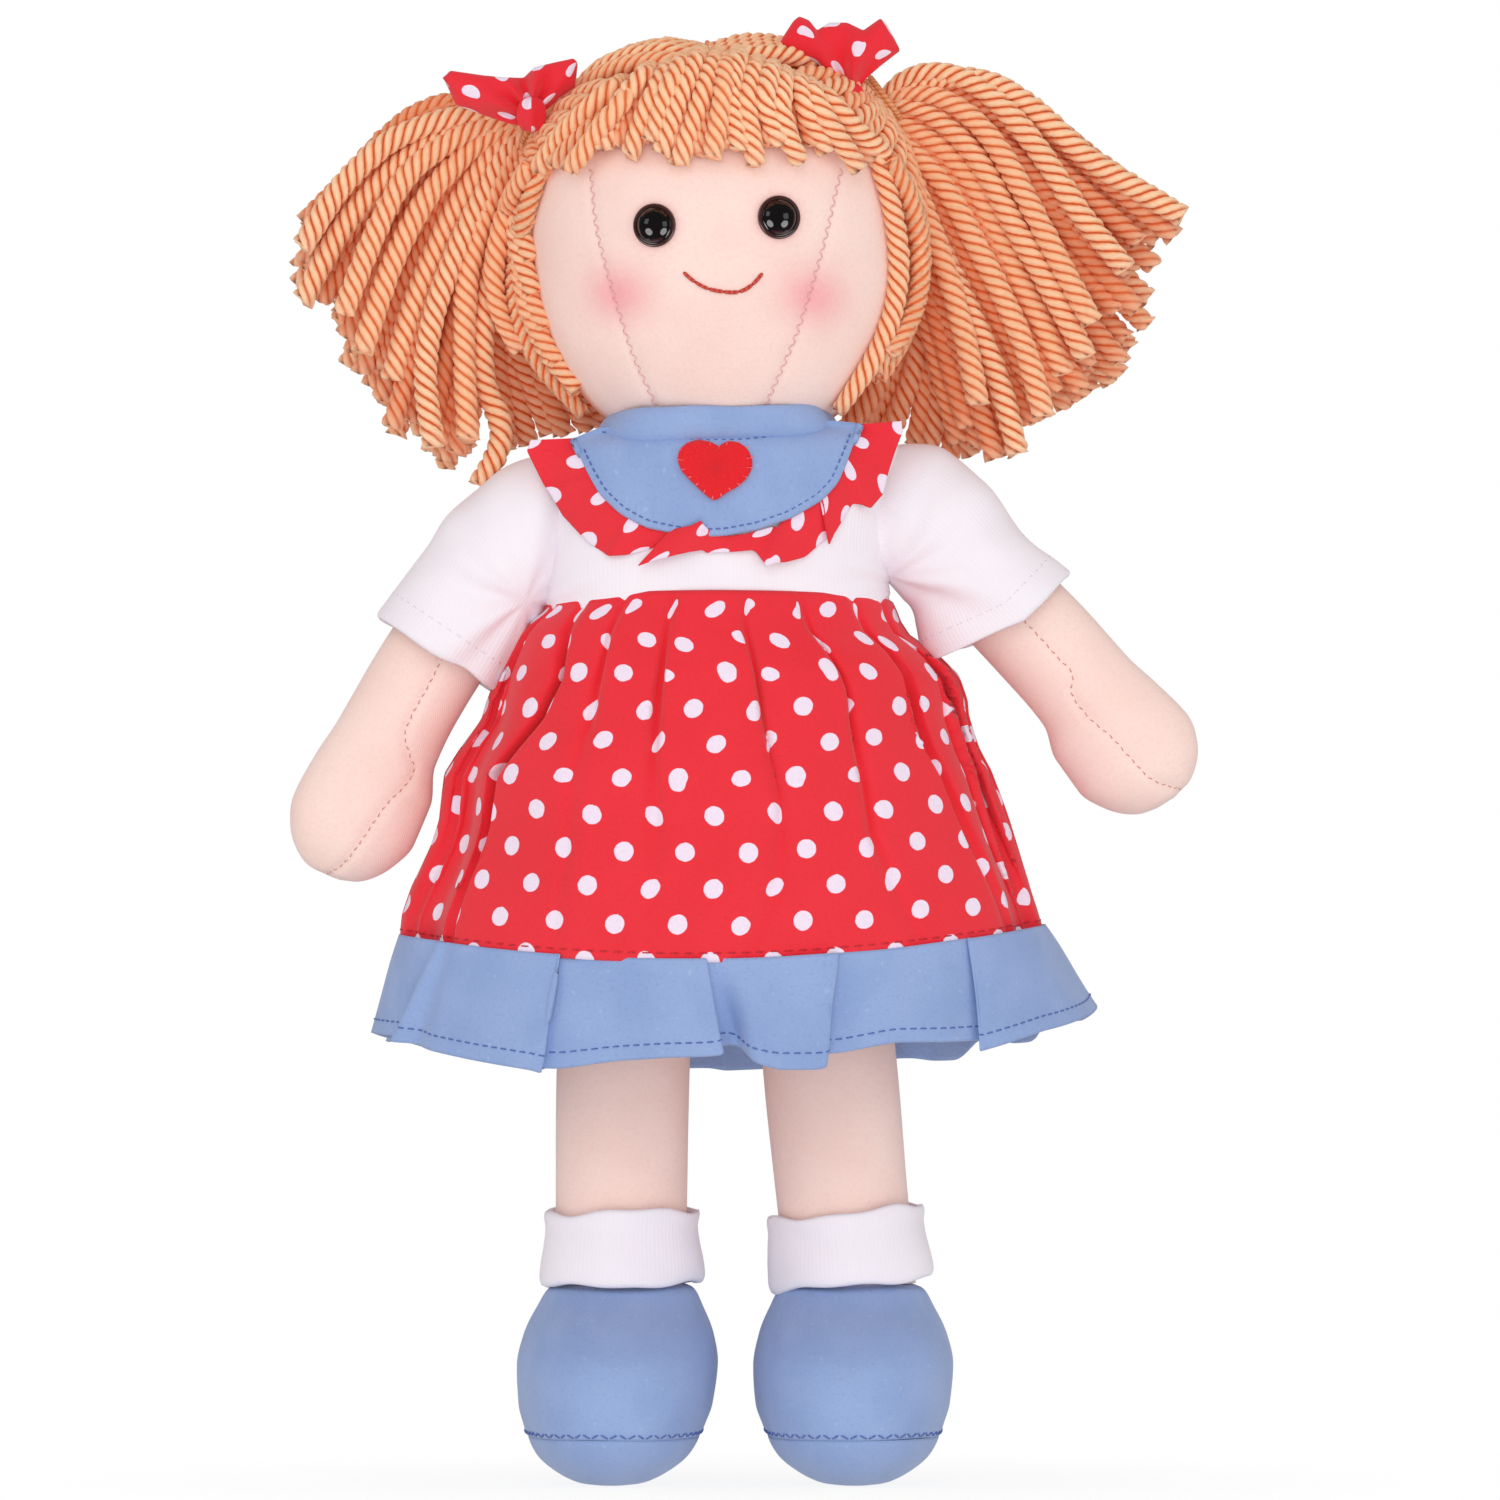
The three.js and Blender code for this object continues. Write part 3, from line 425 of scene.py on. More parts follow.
torso_rows = [(0, 0.96, 0.015, 0.015), (0.058, 0.975, 0.2, 0.21), (0.143, 0.987, 0.5, 0.53),
              (0.25, 0.975, 0.77, 0.8), (0.4, 0.95, 0.92, 0.91), (0.535, 0.96, 0.97, 0.92),
              (0.663, 1, 1, 0.92), (0.79, 0.995, 0.99, 0.91), (0.885, 0.965, 0.96, 0.88),
              (0.935, 0.9, 0.94, 0.86), (0.965, 0.78, 0.87, 0.78), (0.9745, 0.62, 0.66, 0.6),
              (0.9798, 0.3, 0.27, 0.27), (1, 0.04, 0.04, 0.04)]
torso_foot, torso_sizes = 152.55, (94.15, 39.7, 26, 26)
torso_rings = eased(np.array(torso_rows) * torso_sizes + (torso_foot, 0, 0, 0), 90)
torso_grid = np.array([level_ring(0, *row, 120) for row in torso_rings])
torso = make_piece("stuffed_torso", [rumple(torso_grid, 22, 0.3, 1)], skin)
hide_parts("torso")
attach(torso, "torso")


# Legs: two cotton tubes, stuffed a little slack and sewn flat across the top at the hip seam, so
# that they swing. Each ends on its shoe, under the cuff.
leg_rows = [(0, 0.965, 0.03), (0.075, 0.975, 0.3), (0.19, 0.99, 0.76), (0.3, 1, 0.98), (0.55, 1, 1),
            (0.8, 0.985, 0.985), (1, 0.965, 0.965)]
ankle = {"right": -23.0, "left": 32.3}
hip = {"right": -22.0, "left": 22.0}
leg_top, leg_foot = 151.7, 47.9
for side in ("right", "left"):
    rings = eased(np.array(leg_rows)[::-1] * (leg_foot - leg_top, 16, 15.5) + (leg_top, 0, 0), 84)
    across = np.interp(rings[:, 0], [leg_foot, leg_top], [ankle[side], hip[side]])
    grid = np.array([level_ring(x, z, half, deep, deep, 96) for x, (z, half, deep) in zip(across, rings)])
    grid = rumple(grid, 26, 0.45, 5 + len(side))
    leg = make_piece(f"stuffed_leg_{side}", [grid], skin)
    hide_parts(f"leg_{side}")
    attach(leg, f"leg_{side}")


# Shoes: the stuffed foot is two pieces of blue cotton, an upper and a sole, joined low down by a
# sewn seam that draws the cloth in. A line of blue thread follows the seam.
blue_cotton, nodes, laid = new_finish("blue_cotton")
clouds = mottle(nodes, laid, 60.0, 3.0)
threads = weave(nodes, laid, 0.0005)
specks = mottle(nodes, laid, 1100.0, 2.0, 0.6)
flecks = mottle(nodes, laid, 420.0, 1.0)
blue = nodes.blend(clouds.step(0.3, 0.7), paint(136, 161, 208), paint(146, 169, 214))
blue = nodes.blend(specks.step(0.5, 0.8) * 0.5, blue, paint(118, 142, 198))
blue = nodes.blend(flecks.step(0.68, 0.76) * 0.22, blue, paint(184, 200, 232))
close_finish(nodes, blue, 0.84 + 0.1 * specks, threads * 0.6 + specks * 0.7, 0.00008, sheen=0.2)


def thread_finish(name, pale_colour, deep_colour):
    """Sewing thread: two shades that run round it in its twist."""
    finish, nodes, laid = new_finish(name)
    twist = (laid.part("X") * 2600 + laid.part("Y") * 5200).sine() * 0.5 + 0.5
    colour = nodes.blend(twist, pale_colour, deep_colour)
    close_finish(nodes, colour, 0.6 + 0.2 * twist, twist, 0.00008)
    return finish


def tube(path, thick, sides=8):
    """Rings of points round a path, each square to it."""
    path = np.asarray(path, float)
    thick = np.broadcast_to(np.asarray(thick, float), (len(path),))
    along = np.gradient(path, axis=0)
    along /= np.linalg.norm(along, axis=1)[:, None]
    beside = np.empty_like(path)
    start = np.cross(along[0], (0.31, 0.13, 0.94))
    for row, way in enumerate(along):
        start = start - way * (start @ way)
        start = start / np.linalg.norm(start)
        beside[row] = start
    other = np.cross(along, beside)
    angle = np.arange(sides) * 2 * math.pi / sides
    ring = beside[:, None] * np.cos(angle)[:, None] + other[:, None] * np.sin(angle)[:, None]
    return path[:, None] + ring * (thick / 2)[:, None, None]


def read_off(line, place, at):
    """The points of a line at these distances along it, when place says where its own points are."""
    return np.stack([np.interp(at, place, column) for column in line.T], axis=1)


def stitches(path, facing, length, gap, thick, rise, slant=0.0):
    """Stitches along a sewn line, each a short piece of thread that dips into the cloth at its ends.
    They are spread evenly, so that a whole number of them fills the line."""
    place = along_line(path)
    count = max(1, round(place[-1] / (length + gap)))
    length, gap = np.array([length, gap]) * place[-1] / count / (length + gap)
    tubes = []
    for number in range(count):
        at = gap / 2 + number * (length + gap) + length * np.array([0, 0.12, 0.5, 0.88, 1])
        line, face = read_off(path, place, at), read_off(facing, place, at)
        side = np.cross(line[-1] - line[0], face[2])
        side /= np.linalg.norm(side)
        lean = slant * (1 if number % 2 else -1)
        line = line + side * (lean * np.array([-1, -0.8, 0, 0.8, 1]))[:, None]
        line = line + face * (rise * np.array([-1.2, 0.5, 1, 0.5, -1.2]))[:, None]
        tubes.append(tube(line, thick * np.array([0.6, 1, 1, 1, 0.6]), 6))
    return tubes


def ring_stitches(ring, facing, *sizes):
    """Stitches along a sewn line that runs all the way round a piece."""
    ring, facing = [np.concatenate([line, line[:1]]) for line in (ring, facing)]
    return stitches(ring, facing, *sizes)


blue_thread = thread_finish("blue_thread", paint(92, 118, 186), paint(70, 94, 164))
shoe_height, sole_height = 47.6, 11.7
shoe_half, toe_reach, heel_reach = 24.1, 43, 19
upper_rows = [(11.74, 0.868, 0.988, 0.947), (14.2, 0.905, 1, 0.974), (19, 0.968, 1, 1),
              (0.595 * shoe_height, 1, 0.93, 1), (0.742 * shoe_height, 0.946, 0.767, 0.974),
              (0.891 * shoe_height, 0.817, 0.512, 0.92), (0.979 * shoe_height, 0.714, 0.37, 0.85),
              (shoe_height, 0.62, 0.31, 0.78)]
sole_rows = [(0, 0.22, 0.46, 0.5), (0.4, 0.34, 0.58, 0.6), (1.4, 0.45, 0.7, 0.7), (3.2, 0.58, 0.81, 0.79),
             (6.2, 0.735, 0.91, 0.87), (9, 0.815, 0.96, 0.92), (11.66, 0.865, 0.988, 0.947)]
foot = {"right": -25.4, "left": 32.7}


def shoe_rings(side, table, count):
    """Level rings up a part of the shoe, drawn in a little where its seam is."""
    rows = eased(np.array(table) * (1, shoe_half, toe_reach, heel_reach), count)
    across = np.interp(rows[:, 0], [0, shoe_height], [foot[side], ankle[side]])
    pinch = 0.2 * np.exp(-((rows[:, 0] - sole_height) / 0.7) ** 2)
    return np.array([level_ring(x, z, half - p, toe - p, heel - p, 132, 0.84)
                     for x, p, (z, half, toe, heel) in zip(across, pinch, rows)])


for side in ("right", "left"):
    upper = rumple(shoe_rings(side, upper_rows, 64), 15, 0.3, 11 + len(side))
    sole = shoe_rings(side, sole_rows, 30)
    shoe_upper = make_piece(f"shoe_upper_cloth_{side}", [upper], blue_cotton)
    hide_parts(f"shoe_upper_{side}")
    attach(shoe_upper, f"leg_{side}")
    shoe_sole = make_piece(f"shoe_sole_cloth_{side}", [sole], blue_cotton)
    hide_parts(f"shoe_sole_{side}")
    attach(shoe_sole, f"leg_{side}")
    sewn = ring_stitches(upper[1] + (0, 0, 0.1), outward(upper)[2], 1.7, 0.5, 0.42, 0.15, 0.45)
    sole_seam = make_piece(f"shoe_seam_stitches_{side}", sewn, blue_thread)
    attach(sole_seam, f"leg_{side}")


# Sock cuffs: a band of white ribbed jersey, folded double and rolled, sewn round each ankle
# where the leg meets the shoe.
white_jersey, nodes, laid = new_finish("white_jersey")
clouds = mottle(nodes, laid, 50.0, 2.0)
rib_width = 0.0011
ribs = (laid.part("X") * (2 * math.pi / rib_width)).sine() * 0.5 + 0.5
specks = mottle(nodes, laid, 1000.0, 2.0)
jersey_colour = nodes.blend(clouds, paint(246, 240, 245), paint(237, 230, 239))
# The hollows between the ribs are painted a little darker: painted shade.
jersey_colour = nodes.blend((1 - ribs) * 0.07, jersey_colour, paint(218, 208, 222))
close_finish(nodes, jersey_colour, 0.88 + 0.08 * specks, ribs * 0.35 + specks * 0.6, 0.00009, sheen=0.2)

cuff_tilt = {"right": 0.02, "left": 0.1}
cuff_rows = [(16.2, 49.2), (17.6, 47.5), (19.1, 47.7), (19.8, 49.8), (19.6, 53.2), (19.0, 57.5),
             (18.6, 61.5), (18.9, 64.0), (18.5, 65.3), (17.5, 65.2), (16.7, 64.2), (16.3, 60.0),
             (16.2, 54.0), (16.2, 49.6)]
for side in ("right", "left"):
    section = eased(cuff_rows, 57)[:-1]
    middle_x = np.interp(section[:, 1], [leg_foot, leg_top], [ankle[side], hip[side]])
    grid = np.array([level_ring(x, z, half, half, half, 120) for x, (half, z) in zip(middle_x, section)])
    way = np.arctan2(grid[..., 1], grid[..., 0] - ankle[side])
    wobble = 0.55 * np.sin(3 * way + 1.1 * len(side)) + 0.3 * np.sin(7 * way + 2)
    grid[..., 2] += wobble * np.clip((grid[..., 2] - 56) / 9, -1, 1)
    grid[..., 2] += cuff_tilt[side] * (grid[..., 0] - ankle[side])
    outer = np.hypot(grid[..., 0] - middle_x[:, None], grid[..., 1]) > 17.2
    grid = np.where(outer[..., None], rumple(grid, 9, 0.35, 20 + len(side)), grid)
    cuff = make_piece(f"sock_cuff_cloth_{side}", [grid], white_jersey, looped=True)
    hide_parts(f"sock_cuff_{side}")
    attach(cuff, f"leg_{side}")


# Arms: stuffed cotton mittens, each sewn to the shoulder by a flat seam and bending in towards the
# hand. A stitched line runs down the inner side and round the thumb.
pixel, photo_middle = 0.24, 750
camera_away, camera_spot = 4000, (7.824, 175.68)


def traced(points, nearer=0.0):
    """Places drawn on the photograph, in its pixels, as millimetres across and up. They lie nearer
    to the camera than the doll's middle by this much."""
    size = 1 - nearer / camera_away
    return (np.array(points, float) - photo_middle) * (pixel, -pixel) * size + camera_spot


def on_front(piece, outline):
    """Places on the front of a piece, and which way it faces there, under points across and up."""
    corners = [v.co for v in piece.data.vertices]
    tree = BVHTree.FromPolygons(corners, [tuple(p.vertices) for p in piece.data.polygons])
    spots, facings = [], []
    for x, z in outline:
        start = (Vector((x, 0, z)) + Vector(middle)) / 1000
        hit = tree.ray_cast(start - Vector((0, 0.3, 0)), Vector((0, 1, 0)))
        if hit[0] is None:
            hit = tree.find_nearest(start)
        spots.append(np.array(hit[0]) * 1000 - middle)
        facings.append(np.array(hit[1]))
    return np.array(spots), np.array(facings)


def press(grid, path, depth, width):
    """The grid with its cloth drawn in along a sewn line."""
    near = np.full(grid.shape[:2], np.inf)
    for start, end in zip(path[:-1], path[1:]):
        way = end - start
        share = np.clip(((grid - start) @ way) / (way @ way), 0, 1)
        near = np.minimum(near, np.linalg.norm(grid - start - share[..., None] * way, axis=2))
    return grid - outward(grid) * (depth * np.exp(-(near / width) ** 2))[..., None]


def move_mesh(piece, grid):
    """Puts a piece's points where the grid now has them. A cap's middle stays."""
    places = np.array([v.co for v in piece.data.vertices])
    places[:grid.size // 3] = (grid.reshape(-1, 3) + middle) / 1000
    piece.data.vertices.foreach_set("co", places.astype(np.float32).reshape(-1))
    piece.data.update()


arm_rows = [(0, 0.035, 0.035, 0.9), (0.075, 0.42, 0.25, 1), (0.17, 0.88, 0.62, 1.02), (0.28, 1, 0.9, 1),
            (0.42, 1, 1, 0.98), (0.57, 1, 1, 0.95), (0.665, 1.03, 1.03, 0.95),
            (0.76, 1.16, 1.28, 0.98), (0.86, 1.26, 1.3, 0.96), (0.925, 1.1, 1.1, 0.84),
            (0.972, 0.78, 0.78, 0.6), (0.992, 0.5, 0.5, 0.4), (1, 0.2, 0.2, 0.16)]
arm_bend = math.radians(23) / 104
shoulder = {"right": (-38.74, 236.0, 42.5), "left": (38.74, 236.0, 54.5)}


def limb_rings(side, rows, sides):
    """Rings across an arm's path, from rows of: along, outside half, inside half, half depth."""
    x, z, degrees = shoulder[side]
    inward = 1 if side == "right" else -1
    hang = inward * math.radians(degrees)
    rings = []
    for along, outside, inside, deep in rows:
        turn = arm_bend * along
        angle = math.pi / 2 + np.arange(sides) * 2 * math.pi / sides
        reach = np.cos(angle) * np.where(np.cos(angle) * inward > 0, inside, outside)
        across = reach * math.cos(turn) + inward * (1 - math.cos(turn)) / arm_bend
        up = inward * reach * math.sin(turn) - math.sin(turn) / arm_bend
        rings.append(np.stack([x + across * math.cos(hang) + up * math.sin(hang), deep * np.sin(angle),
                               z - across * math.sin(hang) + up * math.cos(hang)], axis=1))
    return np.array(rings)


skin_thread = thread_finish("skin_thread", paint(222, 166, 150), paint(196, 134, 120))
arm_seams = {
    "right": [(452, 640), (430, 685), (412, 718), (406, 735), (411, 755), (416, 768), (408, 784),
              (389, 803), (374, 824), (359, 846), (342, 866), (322, 878)],
    "left": [(992, 590), (1029, 627), (1056, 657), (1072, 677), (1070, 690), (1087, 717), (1110, 737),
             (1131, 760), (1153, 781), (1183, 791)],
}
arm_sizes = {"right": (106.2, 12.4, 12.2, 12), "left": (100.5, 12.8, 12.4, 12)}
for side in ("right", "left"):
    rows = eased(np.array(arm_rows) * arm_sizes[side] + (0.5, 0, 0, 0), 110)
    grid = rumple(limb_rings(side, rows, 96)[::-1], 22, 0.35, 31 + len(side))
    arm = make_piece(f"stuffed_arm_{side}", [grid], skin)
    line = eased(traced(arm_seams[side]), 90)
    path, facing = on_front(arm, line)
    move_mesh(arm, press(grid, path, 0.45, 1.2))
    sewn = stitches(path - facing * 0.5, facing, 1.1, 0.9, 0.3, 0.2, 0.12)
    arm_seam = make_piece(f"arm_seam_stitches_{side}", sewn, skin_thread)
    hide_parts(f"arm_{side}")
    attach(arm, f"arm_{side}")
    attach(arm_seam, f"arm_{side}")


# Head: an egg of skin-coloured cotton, stuffed hard and leaning a little to the doll's right. Two
# seams run down the sides of the face, and the cheeks are rubbed with pink. A fainter ring of the
# same pink round each eye is painted shade where the eye presses in.
head_rows = [(0, 0.06, 0.06), (0.018, 0.3, 0.3), (0.06, 0.53, 0.52), (0.11, 0.675, 0.665),
             (0.2, 0.82, 0.81), (0.31, 0.93, 0.92), (0.44, 0.985, 0.985), (0.58, 1, 1),
             (0.7, 0.955, 0.965), (0.81, 0.84, 0.86), (0.9, 0.665, 0.69), (0.96, 0.46, 0.48),
             (0.99, 0.25, 0.26), (1, 0.06, 0.06)]
head_table = eased(np.array(head_rows) * (94.7, 45, 38) + (-52.9, 0, 0), 150)
head_height, head_lean = 300.0, math.radians(3.7)


def leaned(points):
    """Points laid out from the head's own middle, put in place on the leaning head."""
    x, y, z = np.moveaxis(np.asarray(points, float), -1, 0)
    return np.stack([x * math.cos(head_lean) - z * math.sin(head_lean), y,
                     head_height + x * math.sin(head_lean) + z * math.cos(head_lean)], axis=-1)


both_sides = (("right", -1), ("left", 1))
eye_out, eye_up = 14.8, 1.4
head_grid = np.array([level_ring(0, z, half, deep, deep, 200) for z, half, deep in head_table])
u, y, w = np.moveaxis(head_grid, -1, 0)
cheek = np.exp(-(((abs(u + 1.5) - 23.1) / 7.2) ** 2 + ((w + 16 + 0.075 * u) / 6.4) ** 2)) * (y < 0)
painted_shade_round_eye = np.exp(-((np.hypot(abs(u) - eye_out, w - eye_up) - 4.5) / 1.8) ** 2) * (y < 0)
# The painted shade under the hair covers the scalp from the hairline up and back.
hairline = np.clip((y + 9) / 6, 0, 1) + np.clip((w - 20) / 8, 0, 1)
marks = {"blush_and_eye_shade": [0.78 * cheek + 0.3 * painted_shade_round_eye], "painted_shade_under_hair": [np.clip(hairline, 0, 1)]}
head_grid = leaned(rumple(head_grid, 24, 0.3, 41))
head = make_piece("stuffed_head", [head_grid], skin, marks=marks)
face_seams = {
    "right": [(591, 172), (596, 226), (603, 258), (611, 288), (622, 324), (635, 362), (656, 408)],
    "left": [(842, 172), (834, 204), (828, 232), (815, 280), (798, 334), (783, 370), (766, 408)],
}
seam_thread = thread_finish("face_seam_thread", paint(240, 190, 192), paint(216, 166, 172))
for side, outline in face_seams.items():
    path, facing = on_front(head, eased(traced(outline), 110))
    head_grid = press(head_grid, path, 0.55, 1.1)
    move_mesh(head, head_grid)
    sewn = stitches(path - facing * 0.3, facing, 1.2, 0.15, 0.26, 0.2, 0.55)
    face_seam = make_piece(f"face_seam_stitches_{side}", sewn, seam_thread)
    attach(face_seam, "head")
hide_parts("head")
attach(head, "head")


# Eyes: glossy plastic domes, near black, with a brown rim. Each is pushed through the cloth and
# held from inside by a pale washer on its post.
eye_plastic, nodes, laid = new_finish("eye_plastic")
rim = nodes.add("ShaderNodeAttribute", {"attribute_name": "rim"}, out="Fac")
swirl = mottle(nodes, laid, 500.0, 2.0)
brown = nodes.blend(swirl, paint(70, 34, 28), paint(48, 22, 18))
eye_colour = nodes.blend(rim, paint(10, 5, 7), brown)
close_finish(nodes, eye_colour, 0.08 + 0.16 * rim, swirl, 0.00001, **{"Specular IOR Level": 0.7})

washer_plastic, nodes, laid = new_finish("washer_plastic")
place = nodes.add("ShaderNodeTexCoord", out="Object")
swirl = mottle(nodes, place, 300.0, 2.0)
washer_colour = nodes.blend(swirl, paint(236, 232, 222), paint(220, 216, 205))
close_finish(nodes, washer_colour, 0.4 + 0.2 * swirl, swirl, 0.00004)

eye_rows = [(3.2, -2.4), (4.9, -2.0), (5.2, -0.9), (5.2, 0.3), (5.0, 0.75), (4.65, 0.85), (4.4, 0.78),
            (4.2, 0.95), (3.6, 1.75), (2.7, 2.55), (1.6, 3.1), (0.6, 3.32), (0.08, 3.36)]
for side, way in both_sides:
    spot = leaned([way * eye_out, 0, eye_up])
    centre, facing = on_front(head, [(spot[0], spot[2])])
    rows = eased(eye_rows, 48)
    ahead = facing[0]
    beside = np.cross(ahead, (0, 0, 1))
    beside /= np.linalg.norm(beside)
    above = np.cross(beside, ahead)
    angle = np.arange(64) * 2 * math.pi / 64
    ring = beside * np.cos(angle)[:, None] - above * np.sin(angle)[:, None]
    grid = centre[0] + rows[:, 0, None, None] * ring + (rows[:, 1, None, None] + 0.1) * ahead
    rim_share = np.clip((rows[:, 0] - 4.3) / 0.25, 0, 1)[:, None]
    marks = {"rim": [rim_share]}
    eye = make_piece(f"eye_dome_{side}", [grid], eye_plastic, marks=marks)
    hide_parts(f"eye_{side}")
    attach(eye, "head")
    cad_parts[f"eye_washer_{side}"].material_slots[0].material = washer_plastic


# Mouth: a smile of red thread, sewn through the stuffed face in long back stitches that lie end to
# end.
def softened(points, count, passes):
    """A line through given points, with its corners rounded."""
    points = np.array(points, float)
    place = along_line(points[:, :2])
    line = read_off(points, place, np.linspace(0, place[-1], count))
    for _ in range(passes):
        line[1:-1] = (line[:-2] + 2 * line[1:-1] + line[2:]) / 4
    return line


mouth_thread = thread_finish("mouth_thread", paint(216, 72, 52), paint(180, 52, 38))
smile_line = [(684, 272), (690, 279), (703, 287), (717, 291), (730, 293), (743, 291), (753, 285),
              (762, 273)]
path, facing = on_front(head, softened(traced(smile_line, 38), 80, 40))
smile = stitches(path + facing * 0.2, facing, 3.7, 0.1, 0.95, 0.14, 0.06)
mouth = make_piece("mouth_thread", smile, mouth_thread)
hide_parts("mouth_stitch")
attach(mouth, "head")


# Hair: thick twisted yarn. Each half starts at the parting or the neckline, lies over the head
# and is drawn together at a tie, and a plaited edge of yarn is sewn down each side of the face.
def egg_reach(ways):
    """How far the head's surface is from its middle, along each of these directions."""
    near, far = np.zeros(ways.shape[:-1]), np.full(ways.shape[:-1], 60.0)
    for _ in range(30):
        reach = (near + far) / 2
        height = reach * ways[..., 2]
        half = np.interp(height, head_table[:, 0], head_table[:, 1], left=1e-3, right=1e-3)
        deep = np.interp(height, head_table[:, 0], head_table[:, 2], left=1e-3, right=1e-3)
        inside = (reach * ways[..., 0] / half) ** 2 + (reach * ways[..., 1] / deep) ** 2 < 1
        near, far = np.where(inside, reach, near), np.where(inside, far, reach)
    return near


def over_head(first, last, lifts, count=48):
    """A path over the scalp between two directions, lifted off it by the lifts along the way."""
    first, last = first / np.linalg.norm(first), last / np.linalg.norm(last)
    whole = math.acos(np.clip(first @ last, -1, 1))
    share = np.linspace(0, 1, count)[:, None]
    ways = (np.sin((1 - share) * whole) * first + np.sin(share * whole) * last) / math.sin(whole)
    lift = np.interp(share[:, 0], np.linspace(0, 1, len(lifts)), lifts)
    return ways * (egg_reach(ways) + lift)[:, None]


def on_scalp(spots, lift):
    """Places on the front of the head under spots across and up, lifted off it by this much."""
    x, z = spots[:, 0], spots[:, 1] - head_height
    u = x * math.cos(head_lean) + z * math.sin(head_lean)
    w = z * math.cos(head_lean) - x * math.sin(head_lean)
    near, far = np.full(len(u), -60.0), np.zeros(len(u))
    for _ in range(24):
        y = (near + far) / 2
        at = np.stack([u, y, w], axis=1)
        size = np.linalg.norm(at, axis=1)
        outside = size > egg_reach(at / size[:, None]) + lift
        near, far = np.where(outside, y, near), np.where(outside, far, y)
    return np.stack([u, far, w], axis=1)


plies, twist_length, ring_gap = 4, 11.6, 1.15


def yarn(path, thick, draw, cut=True, hand=1, deep=0.0):
    """A strand of yarn: its rings turn with the twist, and its cut end comes apart a little."""
    place = along_line(path)
    at = np.linspace(0, place[-1], max(4, int(place[-1] / ring_gap) + 1))
    path = read_off(path, place, at)
    thick = np.interp(np.linspace(0, 1, len(path)), np.linspace(0, 1, len(thick)), thick)
    smooth = tube(path, thick, 3 * plies)
    hub = path[:, None]
    spokes = smooth - hub
    turn = -hand * 2 * math.pi * (at / twist_length + draw.uniform())
    along = np.gradient(path, axis=0)
    along /= np.linalg.norm(along, axis=1)[:, None]
    beside = np.cross(along[:, None], spokes)
    turned = spokes * np.cos(turn)[:, None, None] + beside * np.sin(turn)[:, None, None]
    loose = np.clip((at - at[-1]) / 4 + 1, 0, 1) if cut else np.zeros(len(at))
    groove = np.tile([1.0, 0.0, 0.0], plies)
    size = 1 - (0.24 + 0.14 * loose[:, None]) * groove + 0.06 * loose[:, None] ** 3
    size = size * (1 + 0.035 * draw.normal(size=(len(at), 1)))
    grid = hub + turned * size[..., None]
    if cut:
        jitter = np.repeat(draw.uniform(-0.8, 0.8, plies), 3)
        grid[-1] += along[-1] * jitter[:, None]
        grid[-2] += along[-1] * jitter[:, None] * 0.4
    shape = (len(at), 3 * plies)
    # The deep mark is painted shade: it darkens strands that lie behind or among others.
    return grid, {
        "groove": np.broadcast_to(groove, shape), "tip": np.broadcast_to(loose[:, None], shape),
        "tint": np.full(shape, draw.uniform()), "deep": np.full(shape, float(deep)),
    }


yarn_marks = ("groove", "tip", "tint", "deep")


def make_hair(name, strands, node):
    """One piece of many strands, which stands for a CAD node and rides on the head."""
    marks = {mark: [strand[1][mark] for strand in strands] for mark in yarn_marks}
    piece = make_piece(name, [strand[0] for strand in strands], yarn_finish, marks=marks)
    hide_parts(node)
    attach(piece, "head")


yarn_finish, nodes, laid = new_finish("twisted_yarn")
groove, tip, tint, deep = [nodes.add("ShaderNodeAttribute", {"attribute_name": mark}, out="Fac")
                           for mark in yarn_marks]
stretch = (3000.0, 260.0, 1.0)
stretched = nodes.add("ShaderNodeVectorMath", {"operation": "MULTIPLY"}, {0: laid, 1: stretch})
fibres = mottle(nodes, stretched, 1.0, 3.0, 0.65)
# The ramp runs from pale at the ply crests to dark orange in the grooves between plies: painted shade, with
# the fibres' streaks on top.
painted_groove_shade = (groove ** 1.2 + (fibres - 0.5) * 0.6).held()
yarn_colour = nodes.add("ShaderNodeValToRGB", {"stops": [
    (0.0, paint(255, 217, 177)), (0.3, paint(255, 192, 144)), (0.58, paint(247, 147, 92)),
    (0.88, paint(203, 80, 40)),
]}, {"Fac": painted_groove_shade})
yarn_colour = nodes.blend(tint.step(0.1, 0.9) * 0.3, yarn_colour, paint(255, 164, 108))
# Strands marked deep are painted a darker orange: painted shade.
yarn_colour = nodes.blend(deep, yarn_colour, paint(222, 100, 48))
yarn_colour = nodes.blend(tip * 0.4, yarn_colour, paint(255, 214, 178))
# The faint orange emission is painted light: it stands in for light passing through the fibres and lifts
# the shade between strands.
close_finish(nodes, yarn_colour, 0.85 + 0.1 * fibres, fibres, 0.0003, sheen=0.08, **{
    "Sheen Roughness": 0.4, "Sheen Tint": (1.0, 0.78, 0.6, 1.0),
    "Emission Color": paint(190, 62, 22), "Emission Strength": 0.1,
})

